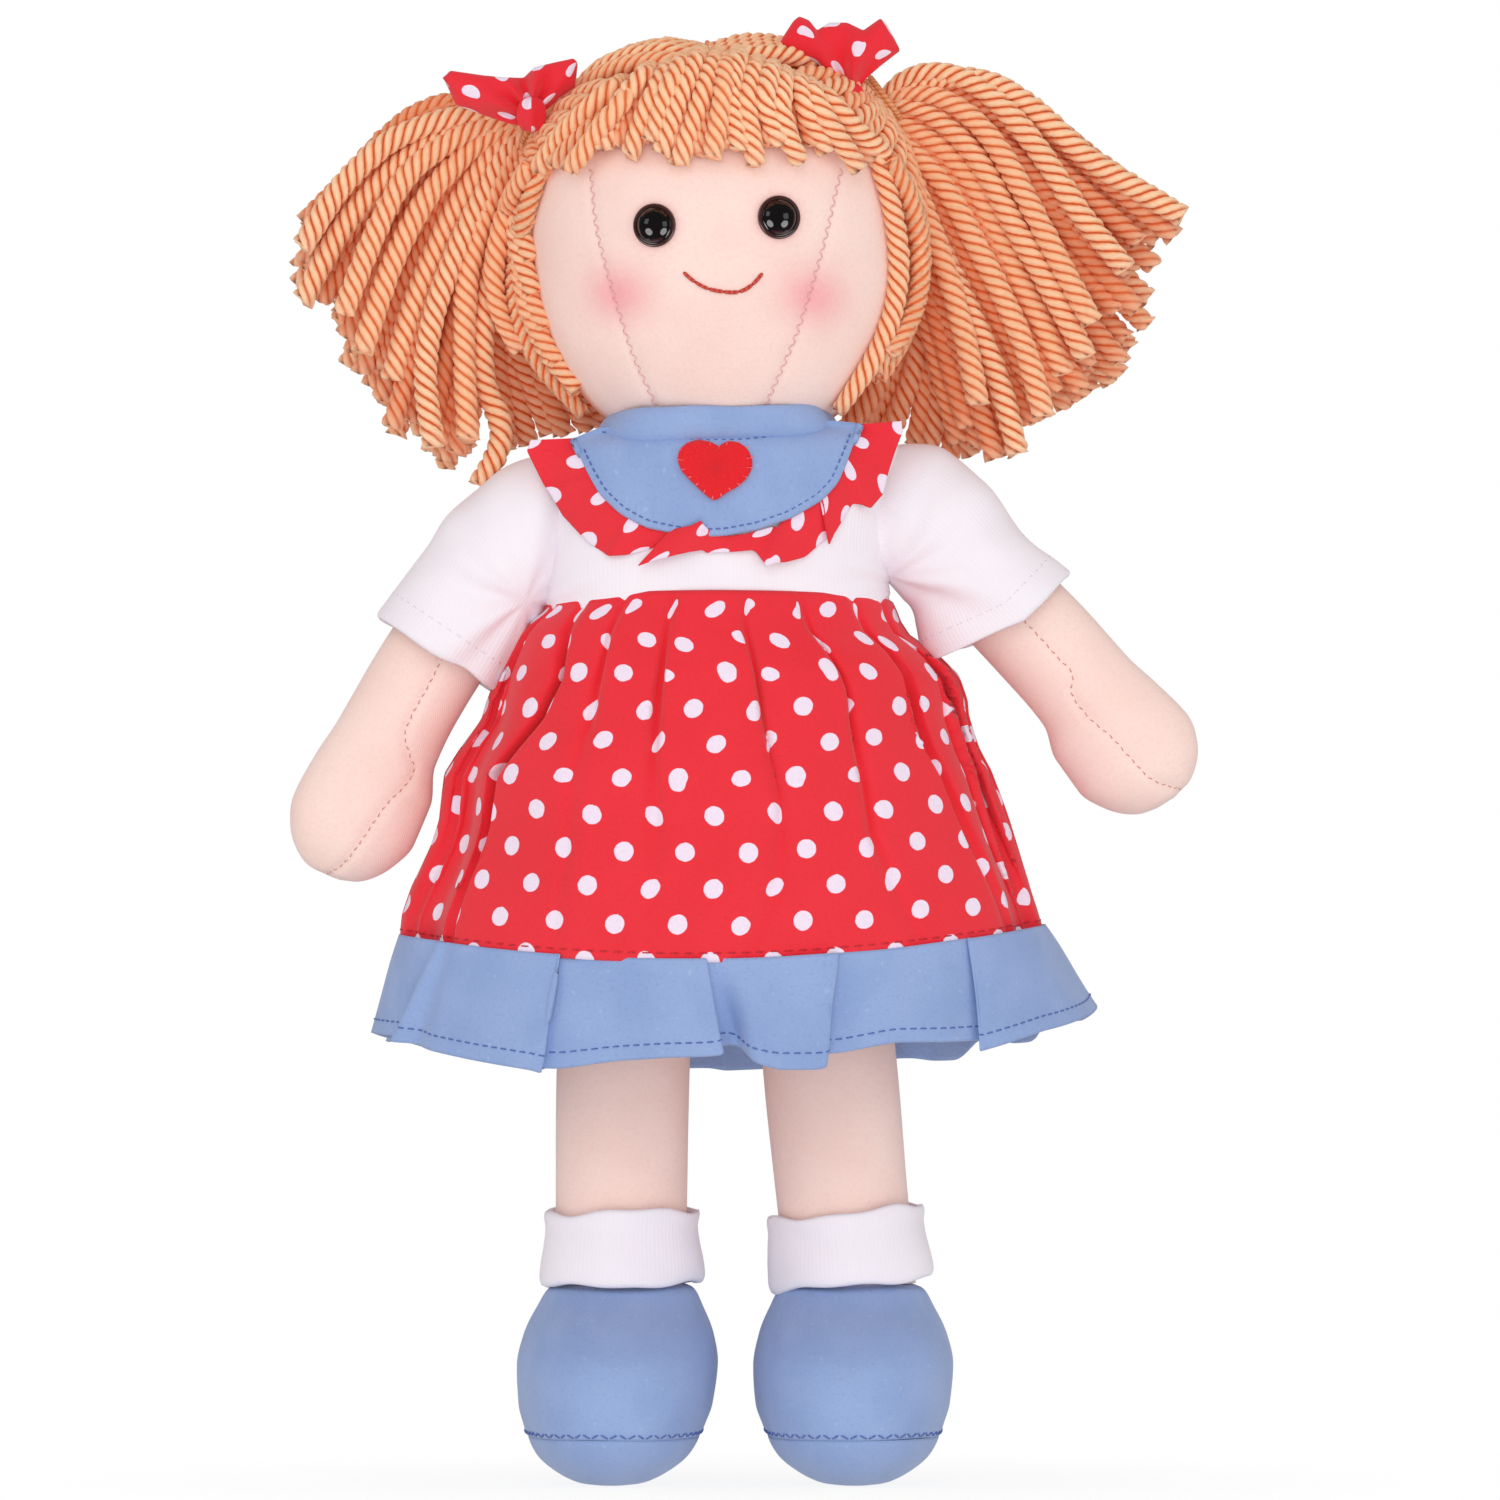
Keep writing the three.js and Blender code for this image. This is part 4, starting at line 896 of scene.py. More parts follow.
tie_out, tie_up, tie_back, tie_slant = 41.0, 28.6, 7.0, math.radians(35)
face_edges = {
    "right": ([(544, 164), (530, 200), (519, 240), (514, 285), (520, 330), (541, 368), (584, 414)],
              [(530, 168), (510, 200), (498, 238), (492, 282), (499, 318), (520, 352)]),
    "left": ([(876, 160), (889, 198), (898, 240), (899, 285), (891, 325), (870, 368), (838, 412)],
             [(890, 162), (910, 198), (920, 240), (921, 284), (912, 322), (890, 356)]),
}
for side, way in both_sides:
    draw = np.random.RandomState(70 + way)
    tie_spot = np.array([way * tie_out, tie_back, tie_up])
    ahead = np.array([way * math.cos(tie_slant), 0, math.sin(tie_slant)])
    starts = []
    for degrees in np.linspace(62, 218, 27):
        slope = math.radians(degrees)
        starts.append((way * 0.012, -math.cos(slope), math.sin(slope)))
    for degrees in np.linspace(172, 96, 14):
        round_by = math.radians(degrees)
        starts.append((way * math.sin(round_by), -math.cos(round_by), -1.2 + 0.2 * math.sin(round_by)))
    strands = []
    for number, start in enumerate(starts):
        start = np.array(start)
        bulge = draw.uniform(0, 1.6)
        lifts = np.array([1.2, 2.6 + bulge, 3.2 + bulge, 3.2 + bulge, 3.4, 4.6])
        path = over_head(start, tie_spot, lifts)
        arrive = path[-12] - tie_spot
        arrive = arrive - ahead * (arrive @ ahead)
        arrive = arrive / np.linalg.norm(arrive)
        in_tie = tie_spot + arrive * (4.6, 3.2, 2.0)[number % 3] + ahead * 0.5
        share = np.linspace(0, 1, len(path))[:, None]
        drawn = np.clip((share - 0.62) / 0.38, 0, 1) ** 2
        path = path * (1 - drawn) + in_tie * drawn
        strands.append(yarn(leaned(path), [4.9, 5.2, 5.1, 4.6, 3.4, 2.5], draw, cut=False))
    # The face edges and the temple strands below get a little painted shade, through deep.
    for edge, lift, hand in zip(face_edges[side], (2.2, 5.4), (way, -way)):
        path = on_scalp(softened(traced(edge), 60, 40), lift)
        strands.append(yarn(leaned(path), [4.6, 5.4, 5.4, 5.2, 4.0], draw, hand=hand, deep=0.1))
    temple = [(21, -23, 40), (28, -25, 36), (34, -25, 31), (37, -24, 25), (40, -19, 22), (42, -15, 17),
              (44, -11, 11), (45, -8, 4), (45, -7, -4), (44, -7, -12), (41, -7, -20), (37, -7, -27),
              (33, -7, -33), (33, 0, -34), (32, 7, -35), (31, 14, -35)]
    for number, start in enumerate(temple):
        start = np.array(start) * (way, 1, 1)
        lifts = np.array([0.5, 2.4, 2.8, 3.2, 3.8]) + 0.5 * (number % 2)
        path = over_head(start, tie_spot, lifts, 40)
        strands.append(yarn(leaned(path), [5.0, 5.4, 5.3, 4.7, 3.2], draw, cut=False, deep=0.1))
    make_hair(f"yarn_half_{side}", strands, f"hair_half_{side}")

parting = over_head(np.array([0, -math.cos(math.radians(64)), math.sin(math.radians(64))]),
                    np.array([0, 0.62, -0.8]), np.array([3.0, 3.4, 3.4, 3.0]), 200)
parting = parting + np.array([0.5, 0, 0]) * np.sin(np.linspace(0, 9, 200))[:, None]
facing = parting / np.linalg.norm(parting, axis=1)[:, None]
sewn = stitches(leaned(parting), facing, 3.4, 0.5, 1.3, 0.5)
yarn_thread = thread_finish("yarn_thread", paint(250, 178, 130), paint(222, 122, 72))
parting_stitches = make_piece("parting_stitches", sewn, yarn_thread)
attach(parting_stitches, "head")


# Fringe: short strands of the same yarn, sewn down across the crown. They fan out over the forehead,
# one on another, and their cut ends hang free.
fringe_lines = [
    [(624, 84), (588, 114), (556, 146), (541, 170)], [(634, 94), (604, 130), (585, 156), (570, 174)],
    [(652, 72), (622, 106), (604, 154)], [(672, 68), (650, 108), (630, 162)],
    [(686, 62), (664, 104), (652, 148)], [(702, 55), (682, 100), (662, 159)],
    [(718, 57), (698, 116), (679, 171)], [(728, 62), (722, 112), (712, 164)],
    [(740, 56), (730, 98), (735, 130), (740, 156)], [(757, 64), (746, 108), (756, 170)],
    [(772, 70), (764, 110), (780, 150)], [(784, 76), (780, 118), (790, 150), (801, 168)],
    [(797, 82), (806, 118), (826, 156)], [(808, 88), (824, 122), (844, 152), (857, 170)],
    [(820, 96), (842, 120), (868, 146), (884, 156)],
]
draw = np.random.RandomState(90)
strands = []
for number, line in enumerate(fringe_lines):
    over = (0.0, 1.5, 0.5)[number % 3]
    spots = softened(traced(line), 50, 30)
    lift = np.interp(np.linspace(0, 1, 50), [0, 0.12, 0.35, 0.7, 1], [1.5, 6.6, 6.6, 4.2, 2.9]) + over * 0.8
    path = on_scalp(spots, lift)
    strands.append(yarn(leaned(path), [4.6, 5.2, 5.3, 5.2, 5.0], draw))
# A second row of strands lies under the gaps between the first, darkened by painted shade through deep.
for first, second in zip(fringe_lines[:-1], fringe_lines[1:]):
    line = (np.array([first[0], first[-1]], float) + np.array([second[0], second[-1]])) / 2
    line[:, 1] += (4, draw.uniform(-14, -4))
    spots = softened(traced(line), 40, 10)
    lift = np.interp(np.linspace(0, 1, 40), [0, 0.3, 1], [0.5, 3.6, 2.3])
    path = on_scalp(spots, lift)
    strands.append(yarn(leaned(path), [4.4, 4.9, 4.6], draw, deep=0.3))
make_hair("yarn_fringe", strands, "fringe")


# Pigtails: the strands of each half leave its tie in a low arch and fall, in layers, to where they
# were cut off with the scissors, none quite as long as the next.
fans = {
    "right": [
        [(500, 104), (448, 92), (400, 110), (355, 158), (320, 198), (287, 230)],
        [(500, 110), (448, 104), (400, 135), (350, 188), (322, 226), (298, 254)],
        [(500, 114), (455, 118), (405, 155), (360, 210), (325, 255), (296, 290)],
        [(502, 120), (460, 132), (412, 180), (370, 235), (338, 280), (314, 308)],
        [(504, 126), (464, 148), (420, 200), (380, 260), (348, 310), (322, 350)],
        [(508, 130), (474, 160), (434, 215), (400, 275), (370, 335), (348, 380)],
        [(510, 136), (480, 175), (446, 235), (416, 300), (395, 365), (378, 420)],
        [(512, 142), (488, 190), (460, 250), (438, 320), (420, 390), (404, 456)],
        [(514, 146), (496, 200), (472, 265), (455, 335), (445, 400), (434, 465)],
        [(516, 150), (500, 210), (486, 280), (474, 350), (466, 410), (455, 478)],
    ],
    "left": [
        [(900, 74), (950, 66), (1020, 86), (1086, 140), (1180, 208)],
        [(903, 84), (955, 80), (1036, 122), (1106, 186), (1178, 252)],
        [(902, 92), (960, 104), (1030, 165), (1090, 235), (1154, 302)],
        [(905, 100), (965, 130), (1020, 195), (1080, 270), (1146, 332)],
        [(905, 112), (960, 150), (1005, 215), (1060, 300), (1122, 378)],
        [(902, 124), (950, 170), (990, 240), (1040, 320), (1090, 392)],
        [(900, 135), (940, 185), (975, 255), (1020, 340), (1058, 420)],
        [(898, 146), (930, 200), (960, 270), (995, 350), (1030, 452)],
        [(896, 156), (915, 215), (940, 280), (968, 360), (998, 468)],
        [(892, 166), (905, 230), (920, 290), (940, 370), (962, 452)],
    ],
}
front_locks = {
    "right": [
        [(490, 112), (454, 114), (388, 136), (338, 182), (300, 246)],
        [(492, 118), (456, 126), (395, 164), (346, 222), (304, 300)],
        [(496, 120), (458, 134), (405, 172), (377, 228), (345, 312)],
        [(500, 126), (478, 140), (427, 192), (393, 262), (365, 350)],
        [(506, 132), (490, 150), (446, 217), (416, 295), (394, 384)],
        [(508, 138), (496, 166), (464, 232), (438, 300), (426, 370), (436, 446)],
        [(512, 142), (506, 166), (486, 205), (466, 273), (464, 355), (468, 440)],
        [(514, 152), (500, 230), (484, 310), (480, 372), (486, 400), (499, 402), (511, 419), (504, 450),
         (480, 482)],
    ],
    "left": [
        [(886, 82), (924, 66), (966, 72), (1006, 108), (1046, 162), (1076, 216), (1126, 272)],
        [(952, 72), (1000, 80), (1046, 116), (1086, 159), (1132, 186), (1184, 218)],
        [(890, 92), (927, 88), (966, 108), (997, 142), (1029, 199), (1057, 253), (1092, 322)],
        [(888, 104), (907, 99), (940, 117), (980, 156), (1008, 212), (1046, 281), (1082, 356)],
        [(888, 122), (908, 124), (944, 146), (976, 186), (990, 222), (1012, 270), (1044, 330),
         (1064, 376)],
        [(890, 146), (908, 162), (924, 210), (944, 267), (962, 332), (977, 404)],
        [(894, 138), (927, 162), (950, 190), (974, 241), (1002, 294), (1026, 350), (1042, 414)],
        [(900, 170), (936, 236), (962, 300), (988, 356), (1004, 410), (1014, 456)],
    ],
}
nape_locks = {
    "right": [
        [(516, 190), (500, 250), (508, 330), (548, 436)],
        [(506, 200), (494, 280), (506, 360), (528, 444)],
        [(500, 220), (488, 300), (492, 370), (505, 446)],
        [(520, 280), (530, 340), (556, 386), (598, 424)],
        [(532, 300), (546, 352), (570, 394), (606, 424)],
        [(522, 240), (526, 320), (542, 380), (563, 428)],
        [(524, 300), (540, 356), (562, 396), (584, 428)],
    ],
    "left": [
        [(906, 250), (914, 310), (892, 368), (866, 420)],
        [(914, 260), (926, 330), (912, 390), (892, 434)],
        [(908, 300), (896, 350), (878, 392), (846, 428)],
        [(924, 290), (934, 350), (928, 400), (916, 440)],
        [(910, 270), (904, 340), (886, 390), (860, 434)],
        [(916, 280), (920, 340), (906, 392), (880, 442)],
        [(922, 300), (942, 360), (944, 410), (932, 452)],
        [(928, 300), (956, 370), (962, 420), (952, 458)],
    ],
}
# The photograph's pixel where the doll's own middle line meets its soles.
doll_column, sole_row = 717.4, 1482


def lock(line, root_depth, deepest, thick, draw, deep):
    """One strand of a pigtail, along a line across and up, from its root to this depth at its end."""
    share = np.linspace(0, 1, len(line))[:, None]
    depth = root_depth + (deepest - root_depth) * share ** 0.8
    path = np.column_stack([line[:, :1], depth, line[:, 1:]])
    sway = np.sin(share * draw.uniform(3, 6) + draw.uniform(0, 6)) * share
    path = path + sway * draw.uniform(-1.1, 1.1, 3)
    return yarn(path, thick, draw, deep=deep)


for side, way in both_sides:
    draw = np.random.RandomState(110 + way)
    tie_spot = leaned([way * tie_out, tie_back, tie_up])
    tie_pixel = (doll_column + tie_spot[0] / pixel, sole_row - tie_spot[2] / pixel)
    fan = np.array([softened(traced([tie_pixel] + line), 50, 30) for line in fans[side]])
    strands = []
    in_layer = 15
    last_line = len(fan) - 1
    # Each layer's second number, and the last number given to lock below, is how much painted shade darkens
    # its strands.
    for layer, (deepest, deep) in enumerate([(8, 0.5), (17, 0.3), (26, 0.1), (34, 0.0)]):
        for number in range(in_layer):
            share = (number + 0.5 * (layer % 2) + draw.uniform(-0.3, 0.3)) / (in_layer - 0.5)
            at = np.clip(share, 0, 1) * last_line
            row = min(int(at), last_line - 1)
            line = fan[row] * (row + 1 - at) + fan[row + 1] * (at - row)
            line = line[0] + (line - line[0]) * draw.uniform(0.88, 1.0)
            strands.append(lock(line, tie_spot[1], deepest + draw.uniform(-3, 3),
                                [2.2, 3.8, 4.9, 5.2, 5.3, 5.3, 5.2], draw, deep))
    for number, line in enumerate(front_locks[side]):
        line = softened(traced([tie_pixel] + line), 70, 40)
        strands.append(lock(line, tie_spot[1], (0.0, 3.5, -2.0)[number % 3],
                            [3.2, 4.9, 5.6, 5.8, 5.8, 5.8, 5.7], draw, 0.0))
    for line in nape_locks[side]:
        line = softened(traced([tie_pixel] + line), 50, 40)
        strands.append(lock(line, tie_spot[1], 27 + draw.uniform(-2, 2),
                            [2.4, 4.4, 5.4, 5.5, 5.4], draw, 0.2))
    make_hair(f"yarn_pigtail_{side}", strands, f"pigtail_{side}")
    pigtail = bpy.data.objects[f"yarn_pigtail_{side}"]
    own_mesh(pigtail)


# Hair ties: a thin covered elastic, wound three times round the root of each pigtail. It holds the
# strands together behind the bow.
elastic = thread_finish("hair_elastic", paint(232, 168, 116), paint(206, 132, 82))
for side, way in both_sides:
    at = np.array([way * tie_out, tie_back, tie_up])
    ahead = np.array([way * math.cos(tie_slant), 0, math.sin(tie_slant)])
    square = np.array([-way * math.sin(tie_slant), 0, math.cos(tie_slant)])
    turn = np.linspace(0, 6 * math.pi, 150)[:, None]
    wound = at + 6.1 * (square * np.cos(turn) + np.array([0, 1, 0]) * np.sin(turn))
    wound = wound + ahead * (turn / (2 * math.pi) - 1.5) * 1.35
    tie_cord = make_piece(f"elastic_tie_{side}", [leaned(tube(wound, 1.5, 10))], elastic)
    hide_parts(f"hair_tie_{side}")
    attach(tie_cord, "head")


# Bows: strips of the red spotted cotton, folded into wide wings and drawn in by a knot in front of
# each tie.
red_cotton, nodes, laid = new_finish("red_spotted_cotton")
clouds = mottle(nodes, laid, 60.0, 3.0)
threads = weave(nodes, laid, 0.00042)
specks = mottle(nodes, laid, 1100.0, 2.0)
red = nodes.blend(clouds, paint(236, 36, 54), paint(226, 27, 42))
red = nodes.blend(specks.step(0.5, 0.85) * 0.35, red, paint(206, 26, 38))
spots_across, spots_up = 0.0151, 0.0173
across = laid.part("X") / spots_across
up = laid.part("Y") / spots_up
wavy = (mottle(nodes, laid, 700.0, 1.0) - 0.5) * 0.00035


def spot_distance(offset):
    """How far the nearest spot of one of the two sets of rows is, in metres."""
    x = ((across + offset) % 1.0 - 0.5) * spots_across
    y = ((up + offset) % 1.0 - 0.5) * spots_up
    return (x * x + y * y).root()


near_spot = across.math("MINIMUM", spot_distance(0.0), spot_distance(0.5))
spot = 1 - (near_spot + wavy).step(0.00218, 0.00242)
spot_white = nodes.blend(specks, paint(242, 230, 243), paint(232, 210, 231))
dotted = nodes.blend(spot, red, spot_white)
close_finish(nodes, dotted, 0.82 + 0.1 * specks, threads * 0.6 + specks * 0.6, 0.00007, sheen=0.15)

bow_edges = {
    "right": ([(443, 79), (451, 72), (484, 77), (506, 79), (524, 79), (535, 69), (555, 64), (574, 60),
               (577, 63)],
              [(445, 82), (450, 92), (456, 106), (480, 115), (512, 126), (532, 128), (546, 112), (560, 99),
               (576, 88), (578, 66)], (532, 116)),
    "left": ([(778, 46), (793, 23), (799, 18), (809, 22), (817, 32), (829, 24), (847, 24), (863, 32),
              (880, 20), (886, 25), (899, 50)],
             [(779, 49), (800, 56), (818, 66), (832, 78), (842, 94), (850, 106), (856, 94), (866, 80),
              (881, 67), (899, 53)], (850, 102)),
}
for side, (upper, lower, knot) in bow_edges.items():
    upper, lower = softened(traced(upper), 150, 3), softened(traced(lower), 150, 3)
    knot = traced([knot])[0]
    angle = np.arange(48) * 2 * math.pi / 48
    flat = (upper + lower)[:, None] / 2 + (upper - lower)[:, None] / 2 * np.cos(angle)[:, None]
    away = np.linalg.norm(flat - knot, axis=2)
    round_knot = np.arctan2(flat[..., 1] - knot[1], flat[..., 0] - knot[0])
    fat = 3.2 * (1 - np.exp(-(away / 7) ** 2)) * np.sin(np.linspace(0, math.pi, 150))[:, None] ** 0.5 + 0.5
    folds = 1.5 * np.sin(9 * round_knot + 1) * np.exp(-((away - 6) / 7) ** 2)
    folds += 0.9 * np.sin(5 * round_knot + 0.14 * away) * np.clip(away / 10, 0, 1)
    depth = -8.5 - fat * np.sin(angle) - folds
    cloth = np.stack([flat[..., 0], depth, flat[..., 1]], axis=-1)
    turn = np.linspace(0, 2 * math.pi, 40, endpoint=False)
    height = -np.cos(np.linspace(0, math.pi, 20))
    ring = np.sqrt(1 - height ** 2) ** 0.7
    creased = 1 + 0.1 * np.cos(5 * turn)
    band = np.stack([knot[0] + 3.4 * ring[:, None] * np.sin(turn) * creased,
                     -9.5 - 3.8 * ring[:, None] * np.cos(turn) * creased,
                     np.broadcast_to(knot[1] + 4.2 * height[:, None], (20, 40))], axis=-1)
    bow = make_piece(f"bow_cloth_{side}", [cloth, band[1:-1]], red_cotton)
    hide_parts(f"bow_{side}")
    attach(bow, "head")


# Bodice: a snug top of white jersey over the stuffed torso, with wide soft shoulders. It is closed
# behind, and the neckband and the bib cover its upper edge.
dress_rows = [(209.4, 41.7, 28.2, 25.8), (215, 41.6, 28.8, 26), (225, 41.5, 29, 26),
              (233, 42.3, 28.8, 25.8), (240, 43.3, 28, 25.2), (245, 43.6, 27, 24.4),
              (248.4, 42.6, 25.4, 23), (250.4, 40, 23.4, 21.4), (251.8, 35.5, 20.4, 18.6),
              (252.4, 31, 18, 16.5)]
dress_table = eased(dress_rows, 100)


shoulder_slope, chest_fullness = 0.035, 0.93


def raised(across, height):
    """How much higher the dress sits here. Its shoulders slope up towards the doll's left."""
    return shoulder_slope * across * np.clip((height - 226) / 22, 0, 1)


armpits = np.array([(-46.0, 0.0, 211.0), (44.0, 0.0, 214.0)])


def armpit_creases(grid, depth, reach, seed):
    """The cloth drawn into folds that run out from under the arms."""
    for spot in armpits:
        away = grid - spot
        far = np.linalg.norm(away[..., [0, 2]], axis=-1)
        turn = np.arctan2(away[..., 2], away[..., 0]) + 0.02 * away[..., 1]
        folds = np.sin(6 * turn + seed) + 0.6 * np.sin(11 * turn + 2 * seed)
        weight = (far / reach) ** 1.5 * np.exp(1.5 - 1.5 * far / reach)
        grid = grid + outward(grid) * (depth * folds * weight)[..., None]
    return grid


def thicken(piece, thickness):
    """Gives a sheet its thickness, on its inner side."""
    layer = piece.modifiers.new("thickness", "SOLIDIFY")
    layer.thickness = thickness / 1000
    layer.offset = -1
    layer.use_rim = True


bodice_grid = np.array([level_ring(0, *row, 240, chest_fullness) for row in dress_table])
bodice_grid = armpit_creases(rumple(bodice_grid, 17, 0.45, 51), 0.25, 9, 1.0)
bodice_grid[..., 2] += raised(bodice_grid[..., 0], bodice_grid[..., 2])
bodice = make_piece("bodice_jersey", [bodice_grid], white_jersey, capped=False)
thicken(bodice, 0.9)
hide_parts("bodice")
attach(bodice, "torso")


# Sleeves: short tubes of the same jersey, full at the shoulder, with a turned hem. They stand open
# round the arms, and crease under them.
sleeve_rows = {
    "right": [(-0.17, 0.36, 0.36, 0.6), (-0.04, 0.68, 0.68, 0.8), (0.13, 0.88, 0.87, 0.92),
              (0.43, 0.98, 0.97, 1), (0.72, 1, 1, 1.02), (0.92, 1.02, 1.04, 1.05),
              (0.985, 1.03, 1.05, 1.05), (1, 0.98, 1, 1)],
    "left": [(-0.17, 0.5, 0.36, 0.6), (-0.04, 0.92, 0.68, 0.8), (0.13, 1.13, 0.87, 0.94),
             (0.36, 1.1, 0.9, 1), (0.58, 0.96, 0.98, 1.02), (0.74, 0.9, 1.18, 1.04),
             (0.9, 0.98, 1.36, 1.06), (0.955, 1, 1.38, 1.05), (0.97, 0.95, 1.32, 1)],
}
white_thread = thread_finish("white_thread", paint(246, 240, 246), paint(222, 212, 226))
sleeve_sizes = (47, 16.75, 16.75, 16)
slack_inside = {"right": 0.0, "left": 9.5}
hem_row = 9
for side, way in both_sides:
    rows = eased(np.array(sleeve_rows[side]) * sleeve_sizes, 76)
    grid = limb_rings(side, rows, 160)[::-1]
    grid = rumple(rumple(grid, 21, 0.8, 61 + way), 9, 0.3, 63 + way)
    grid = armpit_creases(grid, 0.55, 14, 2.0 + way)
    inner = np.clip(-way * np.cos(math.pi / 2 + np.arange(160) * math.pi / 80), 0, 1)
    upward = np.gradient(grid.mean(axis=1), axis=0)
    upward /= np.linalg.norm(upward, axis=1)[:, None]
    drawn_up = slack_inside[side] * np.linspace(1, 0, 76)[:, None] * inner
    grid = grid + upward[:, None] * drawn_up[..., None]
    sleeve = make_piece(f"sleeve_jersey_{side}", [grid], white_jersey, capped=False)
    thicken(sleeve, 1.3)
    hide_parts(f"sleeve_{side}")
    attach(sleeve, f"arm_{side}")
    facing = outward(grid)[hem_row]
    sewn = ring_stitches(grid[hem_row] - facing * 0.1, facing, 1.8, 0.9, 0.32, 0.1)
    hem_stitches = make_piece(f"sleeve_hem_stitches_{side}", sewn, white_thread)
    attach(hem_stitches, f"arm_{side}")


# Neckband: a strip of blue cotton, folded double and sewn to the dress's neck edge. It stands round
# the neck, narrower at the top, and is pinched in at one place on the doll's left.
band_rows = [(25.4, 22.6, 249.0), (28.4, 25.0, 249.2), (29.3, 26.3, 250.2), (29.3, 27.0, 251.8),
             (28.6, 27.2, 253.6), (27.2, 27.0, 255.6), (25.8, 26.6, 257.0), (24.6, 25.8, 257.7),
             (23.8, 24.8, 256.8), (24.2, 23.8, 253.6), (24.8, 22.8, 250.6), (25.4, 22.6, 249.0)]
section = eased(band_rows, 71)[:-1]
band_grid = np.array([level_ring(0, z, half, deep, deep, 200, 0.66) for half, deep, z in section])
band_grid[..., 2] += shoulder_slope * band_grid[..., 0]
pinch_spot = np.array([24.5, -14.0, 253.5])
near_pinch = np.exp(-(np.linalg.norm(band_grid - pinch_spot, axis=2) / 4) ** 2)
band_grid = rumple(band_grid - outward(band_grid) * near_pinch[..., None], 10, 0.3, 71)
neckband = make_piece("neckband_cotton", [band_grid], blue_cotton, looped=True)
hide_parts("neckband")
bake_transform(neckband)


# Bib: a yoke of blue cotton, laid over the top of the bodice and sewn to it. Its lower edge is round
# and topstitched, and a second line of stitches runs along under the neckband.
least_deep = 15.5


def dress_front(points, off):
    """Points across and up, laid on the front of the dress this far off it."""
    points = np.asarray(points, float)
    height = points[..., 1] - raised(points[..., 0], points[..., 1])
    half = np.interp(height, dress_table[:, 0], dress_table[:, 1])
    front = np.interp(height, dress_table[:, 0], dress_table[:, 2])
    share = np.clip(abs(points[..., 0]) / half, 0, 0.995)
    deep = (1 - share ** (2 / chest_fullness)) ** (chest_fullness / 2) * front
    deep = (deep ** 6 + least_deep ** 6) ** (1 / 6)
    return np.stack([points[..., 0], -deep - off, points[..., 1]], axis=-1)


def inside_line(line, amount):
    """The line moved to its left by this amount."""
    way = np.gradient(line, axis=0)
    way /= np.linalg.norm(way, axis=1)[:, None]
    return line + amount * np.stack([-way[:, 1], way[:, 0]], axis=1)


edge_points = [(572, 439), (578, 455), (587, 474), (599, 494), (620, 514), (646, 528), (680, 535),
               (704, 537), (727, 536), (758, 530), (792, 518), (822, 500), (838, 483), (850, 456),
               (862, 424)]
top_points = [(572, 438), (599, 427), (640, 424), (717, 424), (790, 422), (834, 420), (862, 423)]
bib_edge = softened(traced(edge_points, 29), 200, 12)
bib_top = softened(traced(top_points, 25), 200, 12)
rise = np.linspace(0, 1, 60)[:, None, None]
bib_flat = bib_edge * (1 - rise) + bib_top * rise
rounded = 0.5 * np.exp(-rise * 60)
bib_grid = dress_front(bib_flat, 2.0 - rounded[..., 0])
bib_grid = rumple(bib_grid, 16, 0.25, 75, around=False)
bib = make_piece("bib_cotton", [bib_grid], blue_cotton, around=False)
thicken(bib, 0.8)
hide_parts("bib")
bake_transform(bib)
seam_line = dress_front(inside_line(bib_edge, 1.8)[6:-6], 2.0)
facing = np.tile([0.0, -1.0, 0.0], (len(seam_line), 1))
sewn = stitches(seam_line, facing, 1.1, 0.8, 0.36, 0.16)
line_points = [(600, 431), (628, 434), (656, 438), (693, 440), (745, 439), (790, 434), (812, 430)]
band_line = dress_front(softened(traced(line_points, 27), 120, 20), 2.0)
sewn += stitches(band_line, facing[:120], 1.0, 0.9, 0.3, 0.1)
bib_stitches = make_piece("bib_stitches", sewn, blue_thread)
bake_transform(bib_stitches)


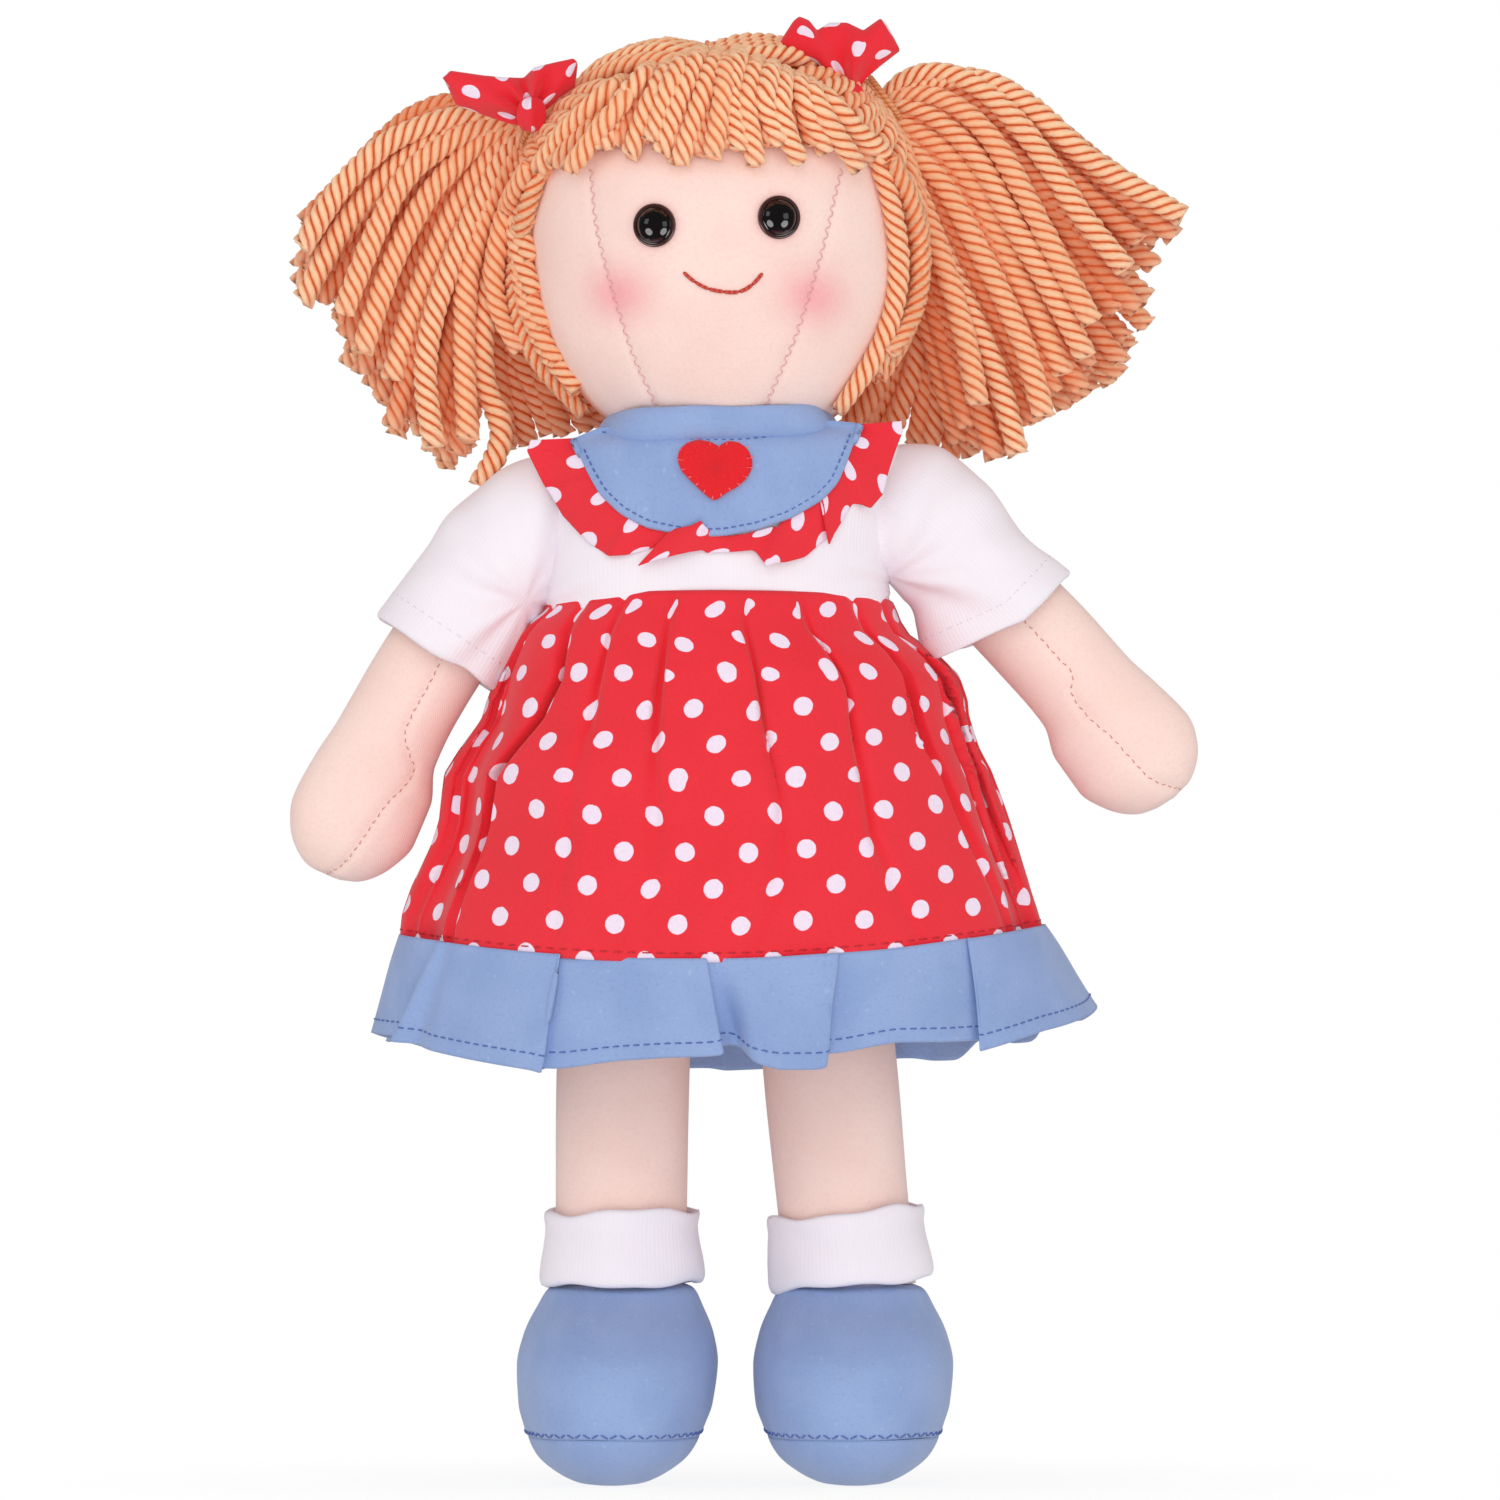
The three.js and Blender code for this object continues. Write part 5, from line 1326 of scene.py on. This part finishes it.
# Bib ruffle: a strip of the red spotted cotton, folded into uneven pleats and sewn in under the
# bib's edge. At three places a pleat stands open, and one folds up over the bib.
# Places along the strip: the pixel of its edge and its lift off the dress, and the same where it is
# sewn in.
pleat_places = [
    (530, 439, 1.3, 575, 437, 0.9), (526, 450, 1.3, 578, 446, 0.9), (536, 470, 1.0, 583, 462, 0.9),
    (543, 484, 0.7, 587, 471, 0.9), (548, 491, 2.1, 590, 477, 1.0), (562, 515, 1.5, 601, 492, 0.9),
    (588, 543, 1.2, 617, 508, 0.9), (600, 550, 0.8, 628, 516, 0.9), (608, 556, 2.3, 632, 520, 1.0),
    (625, 555, 1.4, 645, 527, 0.9), (640, 552, 0.8, 660, 531, 0.9), (656, 547, 0.5, 674, 533, 0.9),
    (637, 566, 3.2, 668, 532, 1.6), (650, 562, 3.0, 688, 528, 3.2), (672, 556, 2.6, 699, 523, 3.8),
    (690, 552, 2.2, 704, 528, 3.2), (703, 550, 1.2, 712, 534, 1.4), (706, 553, 0.9, 727, 537, 0.9),
    (730, 552, 1.1, 745, 535, 0.9), (752, 550, 1.6, 764, 530, 0.9), (756, 552, 0.6, 772, 528, 0.9),
    (767, 567, 3.2, 778, 530, 1.8), (776, 563, 2.8, 782, 524, 1.0), (787, 562, 2.0, 788, 521, 0.9),
    (805, 557, 1.4, 802, 513, 0.9), (821, 543, 1.1, 815, 505, 0.9), (833, 534, 0.6, 822, 500, 0.9),
    (828, 545, 2.6, 820, 502, 1.0),
    (836, 531, 1.8, 828, 494, 0.9), (846, 515, 1.3, 836, 485, 0.9), (853, 503, 0.5, 842, 476, 0.9),
    (861, 504, 1.6, 845, 471, 0.9), (871, 508, 3.0, 849, 463, 1.2), (884, 493, 2.6, 851, 456, 1.0),
    (889, 471, 1.8, 853, 448, 0.9), (896, 449, 1.8, 857, 437, 0.9), (903, 431, 2.0, 861, 428, 0.9),
    (902, 420, 1.6, 862, 423, 0.9),
]
places = np.array(pleat_places, float)
places = np.column_stack([traced(places[:, :2], 30), places[:, 2],
                          traced(places[:, 3:5], 30), places[:, 5]])
places = softened(places, 520, 3)
out_share = np.linspace(-0.07, 1, 24)[:, None, None]
strip_flat = places[:, 3:5] * (1 - out_share) + places[:, :2] * out_share
held_share = np.clip(out_share[..., 0], 0, 1) ** 0.7
strip_lift = places[:, 5] * (1 - held_share) + places[:, 2] * held_share
strip_lift = strip_lift + 0.25 * uneven(np.dstack([strip_flat, strip_lift]), 7, 79) * held_share
ruffle_grid = dress_front(strip_flat, strip_lift)
ruffle = make_piece("bib_ruffle_cotton", [ruffle_grid[::-1]], red_cotton,
                    around=False)
thicken(ruffle, 0.4)
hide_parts("bib_ruffle")
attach(ruffle, "torso")


# Heart: a patch of thick red felt in the middle of the bib. It is sewn on by small stitches of a
# paler red thread across its edge.
felt, nodes, laid = new_finish("red_felt")
fibres = mottle(nodes, laid, 1500.0, 4.0, 0.7)
clouds = mottle(nodes, laid, 200.0, 2.0)
felt_colour = nodes.blend(fibres.step(0.35, 0.7), paint(222, 5, 20), paint(240, 16, 34))
close_finish(nodes, felt_colour, 0.92 + 0.06 * fibres, fibres + clouds * 0.5, 0.00025, sheen=0.15)
heart_points = [(719, 446), (723, 442), (731, 440), (741, 442), (749, 448), (753, 458), (753, 467),
                (747, 479), (738, 487), (726, 493), (715, 501), (708, 497), (700, 490), (690, 480),
                (681, 470), (677, 459), (679, 450), (686, 443), (697, 439), (708, 440), (715, 443),
                (719, 446)]
heart_middle = traced([(715, 468)], 31)[0]
heart_line = softened(traced(heart_points, 31), 141, 6)[:-1] - heart_middle
heart_rows = [(1.0, 1.6), (1.0, 2.6), (0.985, 3.1), (0.94, 3.35), (0.8, 3.5), (0.4, 3.6), (0.03, 3.6)]
heart_grid = np.array([dress_front(heart_middle + heart_line * share, off)
                       for share, off in eased(heart_rows, 34)])
heart_grid[5:] = rumple(heart_grid, 5, 0.2, 77)[5:]
heart = make_piece("heart_felt", [heart_grid[:, ::-1]], felt)
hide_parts("heart_patch")
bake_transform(heart)
red_thread = thread_finish("red_thread", paint(250, 116, 120), paint(222, 64, 74))
sewn = []
for spoke in heart_line[::7]:
    ends = dress_front(heart_middle + spoke * np.array([[1.03], [0.84]]), 3.3)
    sewn += stitches(np.linspace(ends[0], ends[1], 5), facing[:5], 1.1, 0.1, 0.3, 0.25)[:1]
heart_stitches = make_piece("heart_stitches", sewn, red_thread)
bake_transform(heart_stitches)


# Back opening: a strip of loops on the bodice, a strip of hooks over it, and a white jersey placket
# that covers both. All three are sewn to the bodice behind.
hook_finish, nodes, laid = new_finish("hook_and_loop")
place = nodes.add("ShaderNodeTexCoord", out="Object")
fuzz = mottle(nodes, place, 2500.0, 3.0, 0.7)
hook_colour = nodes.blend(fuzz.step(0.35, 0.65), paint(240, 240, 240), paint(214, 214, 216))
close_finish(nodes, hook_colour, 0.9 + 0.05 * fuzz, fuzz, 0.0003)
for node in ("hook_strip", "loop_strip"):
    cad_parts[node].material_slots[0].material = hook_finish
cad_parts["back_placket"].material_slots[0].material = white_jersey


# Skirt: a straight strip of the red spotted cotton, gathered at the waist into pleats that open
# out on the way down. It hangs from the bodice, and covers the hips and the tops of the legs.
waist_height, hem_height = 211.0, 125.4
# The share of the way down, with the reach to the doll's right and left, or in front and behind.
skirt_sides = np.array([
    (0, 41.6, 42.2), (0.03, 42, 43.2), (0.06, 45.2, 44), (0.1, 48.6, 46), (0.16, 51.4, 53.2),
    (0.22, 53.8, 58.2), (0.3, 56.2, 60.6), (0.345, 57.2, 61), (0.44, 62.2, 63.6), (0.51, 65.4, 66.4),
    (0.65, 66.8, 70), (0.72, 68.6, 71.8), (0.85, 73.2, 75.4), (0.93, 75.6, 77.2), (1, 76.4, 78.6),
]).T
skirt_depths = np.array([(0, 29.4, 27), (0.05, 31.5, 28.5), (0.2, 38, 35), (0.42, 43.8, 42),
                         (0.7, 48.5, 47.5), (1, 51.8, 51.8)]).T


def hung_ring(angle, on_right, on_left, front, back):
    """Places round a level of the skirt, across and deep, and the way out of it at each."""
    wide = np.where(np.sin(angle) > 0, on_left, on_right)
    deep = np.where(abs(angle) < math.pi / 2, front, back)
    way = np.stack([np.sin(angle) / wide, -np.cos(angle) / deep], axis=1)
    way /= np.linalg.norm(way, axis=1)[:, None]
    return np.stack([wide * np.sin(angle), -deep * np.cos(angle)], axis=1), way


def pleated(levels, flat_width, columns, pleats, deepest):
    """Cloth hung from ring to ring. Each pleat hides its share of the width that is to spare. With it
    comes how far the cloth's own rows are slid up at each point, as each panel leans with its pleats."""
    turn = np.linspace(-math.pi, math.pi, 1441)
    cloth = np.arange(columns) * flat_width / columns
    kernel = np.exp(-np.linspace(-2, 2, 9) ** 2)
    kernel /= kernel.sum()
    steps = [np.array(line, float).T for line, _ in pleats]
    leans = np.array([lean for _, lean in pleats])
    rows, folded = [], []
    for share, reach, height in levels:
        place = along_line(hung_ring(turn, *reach)[0])
        round_it = place[-1]
        spare = max(flat_width - round_it, 4.0)
        degrees = np.array([np.interp(share, line[0], line[1]) for line in steps])
        weight = np.array([np.interp(share, line[0], line[2]) for line in steps])
        hidden = spare * weight / weight.sum()
        at = np.interp(np.radians(degrees), turn, place)
        order = np.argsort(at)
        at, hidden, lean = at[order], hidden[order], leans[order]
        centre = at + np.cumsum(hidden) - hidden / 2
        width = np.maximum(1.4 * hidden, 7.0)
        folded.append((centre, width))
        heavy = np.clip(0.8 * weight[order], 0.8, 1.6)
        local = (cloth[:, None] - centre) / width
        passed = (np.clip(local + 0.5, 0, 1) * hidden).sum(axis=1)
        depth = np.minimum(0.5 * np.sqrt(width ** 2 - (width - np.minimum(hidden, width)) ** 2),
                           heavy * (deepest[0] + (deepest[1] - deepest[0]) * min(1, 3.5 * share)))
        skewed = np.clip(local + lean * (0.25 - local ** 2), -0.5, 0.5)
        dip = (np.cos(math.pi * skewed) ** 2 * depth * (abs(local) < 0.5)).sum(axis=1)
        seen_at = cloth - passed * (flat_width - round_it) / spare
        seen_at = np.concatenate([seen_at[-4:] - round_it, seen_at, seen_at[:4] + round_it])
        dip = np.convolve(np.concatenate([dip[-4:], dip, dip[:4]]), kernel, "valid")
        angle = np.interp(np.convolve(seen_at, kernel, "valid") % round_it, place, turn)
        spots, way = hung_ring(angle, *reach)
        spots = spots - way * dip[:, None]
        rows.append(np.column_stack([spots, height(angle)]))
    rows = np.array(rows)
    down = np.gradient(rows, axis=0)
    down /= np.linalg.norm(down, axis=2)[..., None]
    drift = np.cumsum(((np.roll(rows, -1, axis=1) - rows) * down).sum(axis=2), axis=1)
    slides = []
    for line, (centre, width) in zip(drift, folded):
        panels = np.concatenate([[0], centre, [flat_width]])
        kept = np.interp((panels[:-1] + panels[1:]) / 2, cloth, line)
        ends = np.stack([centre - width / 2.6, centre + width / 2.6], axis=1).reshape(-1)
        slides.append(0.4 * (np.interp(cloth, ends, np.repeat(kept, 2)[1:-1]) - line))
    return rows, np.array(slides)


def hem_rise(angle):
    """How much higher than in front the hem hangs at the sides, a little more on the doll's left."""
    return 6.4 * np.sin(angle) ** 2 + 1.2 * np.sin(angle)


def skirt_level(share):
    """One level of the skirt: its share down, its reach each way, and its height round it."""
    reach = [np.interp(share, table[0], column)
             for table in (skirt_sides, skirt_depths) for column in table[1:]]
    level = waist_height + (hem_height - waist_height) * share

    def height(angle):
        arch = 2.8 * np.cos(angle) * (1 - share) ** 3 * (np.cos(angle) > 0)
        return level + arch + share * hem_rise(angle)

    return share, reach, height


# Each pleat: at shares of the way down, the degrees round the doll where it lies and how much cloth
# it hides beside the others, and then which way it leans.
skirt_pleats = [
    ([(0, -49, 1.2), (0.05, -48.6, 1.5), (0.23, -44.2, 1.8), (0.33, -47.7, 2.2), (0.51, -55.6, 2.6),
      (0.61, -56.4, 2.4), (0.9, -57.8, 1.8), (1, -58, 1.5)], 0.75),
    ([(0, -31.4, 1), (0.19, -31.5, 0.6), (0.42, -31, 0.1), (1, -30, 0.02)], 0.6),
    ([(0, -13.6, 1), (0.25, -14.7, 0.75), (0.39, -14.6, 0.6), (0.57, -12.7, 0.3), (0.8, -12, 0.05),
      (1, -12, 0.02)], 0.6),
    ([(0, 7.4, 1), (0.32, 10, 0.7), (0.58, 12.6, 0.45), (0.77, 11.2, 0.35), (1, 4, 0.05)], -0.6),
    ([(0, 26.9, 1), (0.26, 31.4, 0.8), (0.45, 31.4, 0.7), (0.66, 31, 0.6), (0.8, 34, 0.3),
      (1, 38, 0.05)], -0.6),
    ([(0, 47.8, 1.1), (0.08, 50.5, 1.2), (0.37, 52.5, 1.3), (0.55, 55.5, 1.3), (0.75, 59.5, 1),
      (1, 64, 0.7)], -0.75),
    ([(0, -70, 1), (0.4, -77, 1.1), (1, -80, 0.7)], -0.5),
    ([(0, 68, 1), (0.4, 74, 1.2), (1, 80, 0.9)], 0.5),
]
for way in (-1, 1):
    for number, degrees in enumerate((86, 101, 116, 132, 147, 163)):
        swing = (3, -2, 1, -3, 2, -1)[number]
        heavy = (0.7, 1.2, 0.6, 1.1, 0.8, 1.0)[number]
        skirt_pleats.append(([(0, way * degrees, 1), (0.5, way * (degrees + swing), 1.1 * heavy),
                              (1, way * (degrees + 1.4 * swing), heavy)], way * 0.5))
skirt_pleats.append(([(0, 178, 1), (0.5, 176, 0.9), (1, 178, 0.7)], 0.5))
skirt_flat = (430.0, 87.0)
pleat_depths = (0.3, 5.0)
skirt_levels = [skirt_level(share) for share in np.linspace(0, 1, 80)]
skirt_grid, skirt_slides = [layer[::-1] for layer in
                            pleated(skirt_levels, skirt_flat[0], 640, skirt_pleats, pleat_depths)]
around = np.degrees(np.arctan2(skirt_grid[..., 0] / 76, -skirt_grid[..., 1] / 52))
lower = np.clip((206 - skirt_grid[..., 2]) / 40, 0, 1)
recess = 4.5 * np.exp(-((around + 70) / 9) ** 2) + 3.5 * np.exp(-((around - 74) / 8) ** 2)
skirt_grid = skirt_grid - outward(skirt_grid) * (recess * lower)[..., None]
slack = np.clip((waist_height - skirt_grid[..., 2]) / 25, 0, 1)
slack *= np.clip((skirt_grid[..., 2] - 127) / 16, 0.25, 1)
sag = uneven(skirt_grid * (1, 1, 0.4), 26, 81) * 1.1 + uneven(skirt_grid * (1, 1, 0.7), 10, 85) * 0.3
skirt_grid = skirt_grid + outward(skirt_grid) * (sag * slack)[..., None]
skirt = make_piece("skirt_cotton", [skirt_grid], red_cotton, capped=False,
                   flat=skirt_flat[0], slid=skirt_slides)
thicken(skirt, 0.5)
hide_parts("skirt")
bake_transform(skirt)
dark_red_thread = thread_finish("dark_red_thread", paint(214, 40, 54), paint(166, 18, 32))
sewn_row = 2
sewn = ring_stitches(skirt_grid[sewn_row], outward(skirt_grid)[sewn_row], 2.2, 1.2, 0.34, 0.12)
skirt_stitches = make_piece("skirt_hem_stitches", sewn, dark_red_thread)
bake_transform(skirt_stitches)


# Hem ruffle: a flounce of blue cotton, pleated and sewn to the skirt's lower edge. Its own edge is
# turned up and sewn, and swings out into deep folds.
# Places along the flounce: the seam's column, the pixel of its own edge, and how far the edge and
# the seam stand out.
fold_places = np.array([
    (400, 370, 1036, 0, 0), (420, 392, 1038, -1.4, -0.4), (441, 416, 1041, -3.0, -0.8),
    (438, 395, 1040, 3.0, 0.8), (443, 402, 1044, 4.2, 1.2), (448, 412, 1045, -0.6, 0.0),
    (456, 432, 1051, 2.0, 0.5), (500, 480, 1061, 2.6, 0.6), (550, 536, 1070, 3.2, 0.8),
    (566, 549, 1074, 3.8, 1.0), (554, 538, 1068, 0.4, -0.3), (572, 560, 1069, 0.4, -0.3),
    (610, 612, 1061, -1.4, 0.3), (660, 670, 1056, 2.0, 0.5), (698, 708, 1055, 3.6, 0.9),
    (709, 730, 1053, 4.0, 1.0), (699, 712, 1046, -1.5, -0.5), (712, 735, 1044, -7.5, -0.6),
    (724, 745, 1048, -6.0, -0.2), (735, 750, 1061, 2.2, 0.4), (770, 776, 1068, 5.2, 0.8),
    (822, 814, 1068, 5.6, 0.9), (841, 828, 1066, 4.8, 1.0), (831, 815, 1052, -1.5, -0.5),
    (848, 836, 1053, -2.0, -0.2), (885, 893, 1042, 0.4, 0.3), (936, 948, 1041, 1.2, 0.3),
    (974, 986, 1040, -1.2, -0.5), (964, 970, 1052, 3.0, 0.8), (985, 1000, 1044, 2.8, 0.8),
    (1010, 1040, 1031, 2.0, 0.5), (1034, 1080, 1021, 1.0, 0.3), (1044, 1098, 1008, 0, 0),
], float)
seam_middle, seam_half, seam_deep = 1.1, 77.6, 51.6
edge_middle, edge_half = 3.9, 87.0
flare, flare_deep, shift = 9.4, 7, 2.8
seam = traced(np.column_stack([fold_places[:, 0], fold_places[:, 0]]), 40)[:, 0]
edge = traced(fold_places[:, 1:3], 52)
seam_turn = np.arcsin(np.clip((seam - seam_middle) / seam_half, -1, 1))
edge_turn = np.arcsin(np.clip((edge[:, 0] - edge_middle) / edge_half, -1, 1))
stations = np.column_stack([seam_turn, edge_turn, edge[:, 1], fold_places[:, 3], fold_places[:, 4]])
stations[0, :2], stations[-1, :2] = -math.pi / 2, math.pi / 2
behind = []
for number, degrees in enumerate(np.linspace(112, 248, 9)):
    turn = math.radians(degrees)
    low = 97.6 + (12.8 + 3.4 * math.sin(turn)) * abs(math.sin(turn)) ** 3
    swing = 0.3 + 0.5 * (number % 3)
    way = 1 if number % 2 else -1
    behind += [(turn - 0.06, turn - 0.07, low + 0.4, 1.4 + swing, 0.5),
               (turn + 0.03, turn + 0.05, low, 2.4 + swing, 0.9),
               (turn + 0.035, turn + 0.06 + 0.01 * way, low + 0.8, -0.6 - swing, -0.4),
               (turn + 0.09, turn + 0.12, low + 0.7, -1.0 - swing, -0.3)]
stations = np.concatenate([stations, behind, stations[:1] + (2 * math.pi, 2 * math.pi, 0, 0, 0)])
ring_size = np.array([80.0, 80.0, 1, 1, 1])
stations = softened(stations * ring_size, 761, 7)[:-1] / ring_size
down = np.linspace(0, 1, 30)[:, None]
turn = stations[:, 0] * (1 - down) + stations[:, 1] * down
seam_height = hem_height + 0.9 + hem_rise(turn)
height = seam_height * (1 - down) + stations[:, 2] * down
out = stations[:, 4] * (1 - down) + stations[:, 3] * down ** 1.15
wide, deep = seam_half + flare * down, seam_deep + flare_deep * down
way = np.stack([np.sin(turn) / wide, -np.cos(turn) / deep, 0 * turn], axis=-1)
way /= np.linalg.norm(way, axis=-1, keepdims=True)
across = seam_middle + shift * down + wide * np.sin(turn)
flounce_grid = np.stack([across, -deep * np.cos(turn), height], axis=-1)
flounce_grid = (flounce_grid + way * out[..., None])[::-1]
flounce_grid = rumple(flounce_grid, 14, 0.4, 91)
flounce_flat = (560.0, 27.5)
flounce = make_piece("hem_ruffle_cotton", [flounce_grid], blue_cotton, capped=False,
                     flat=flounce_flat[0])
thicken(flounce, 0.6)
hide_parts("hem_ruffle")
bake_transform(flounce)
sewn_row = 4
sewn = ring_stitches(flounce_grid[sewn_row], outward(flounce_grid)[sewn_row], 1.7, 0.9, 0.36, 0.14)
flounce_stitches = make_piece("hem_ruffle_stitches", sewn, blue_thread)
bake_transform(flounce_stitches)
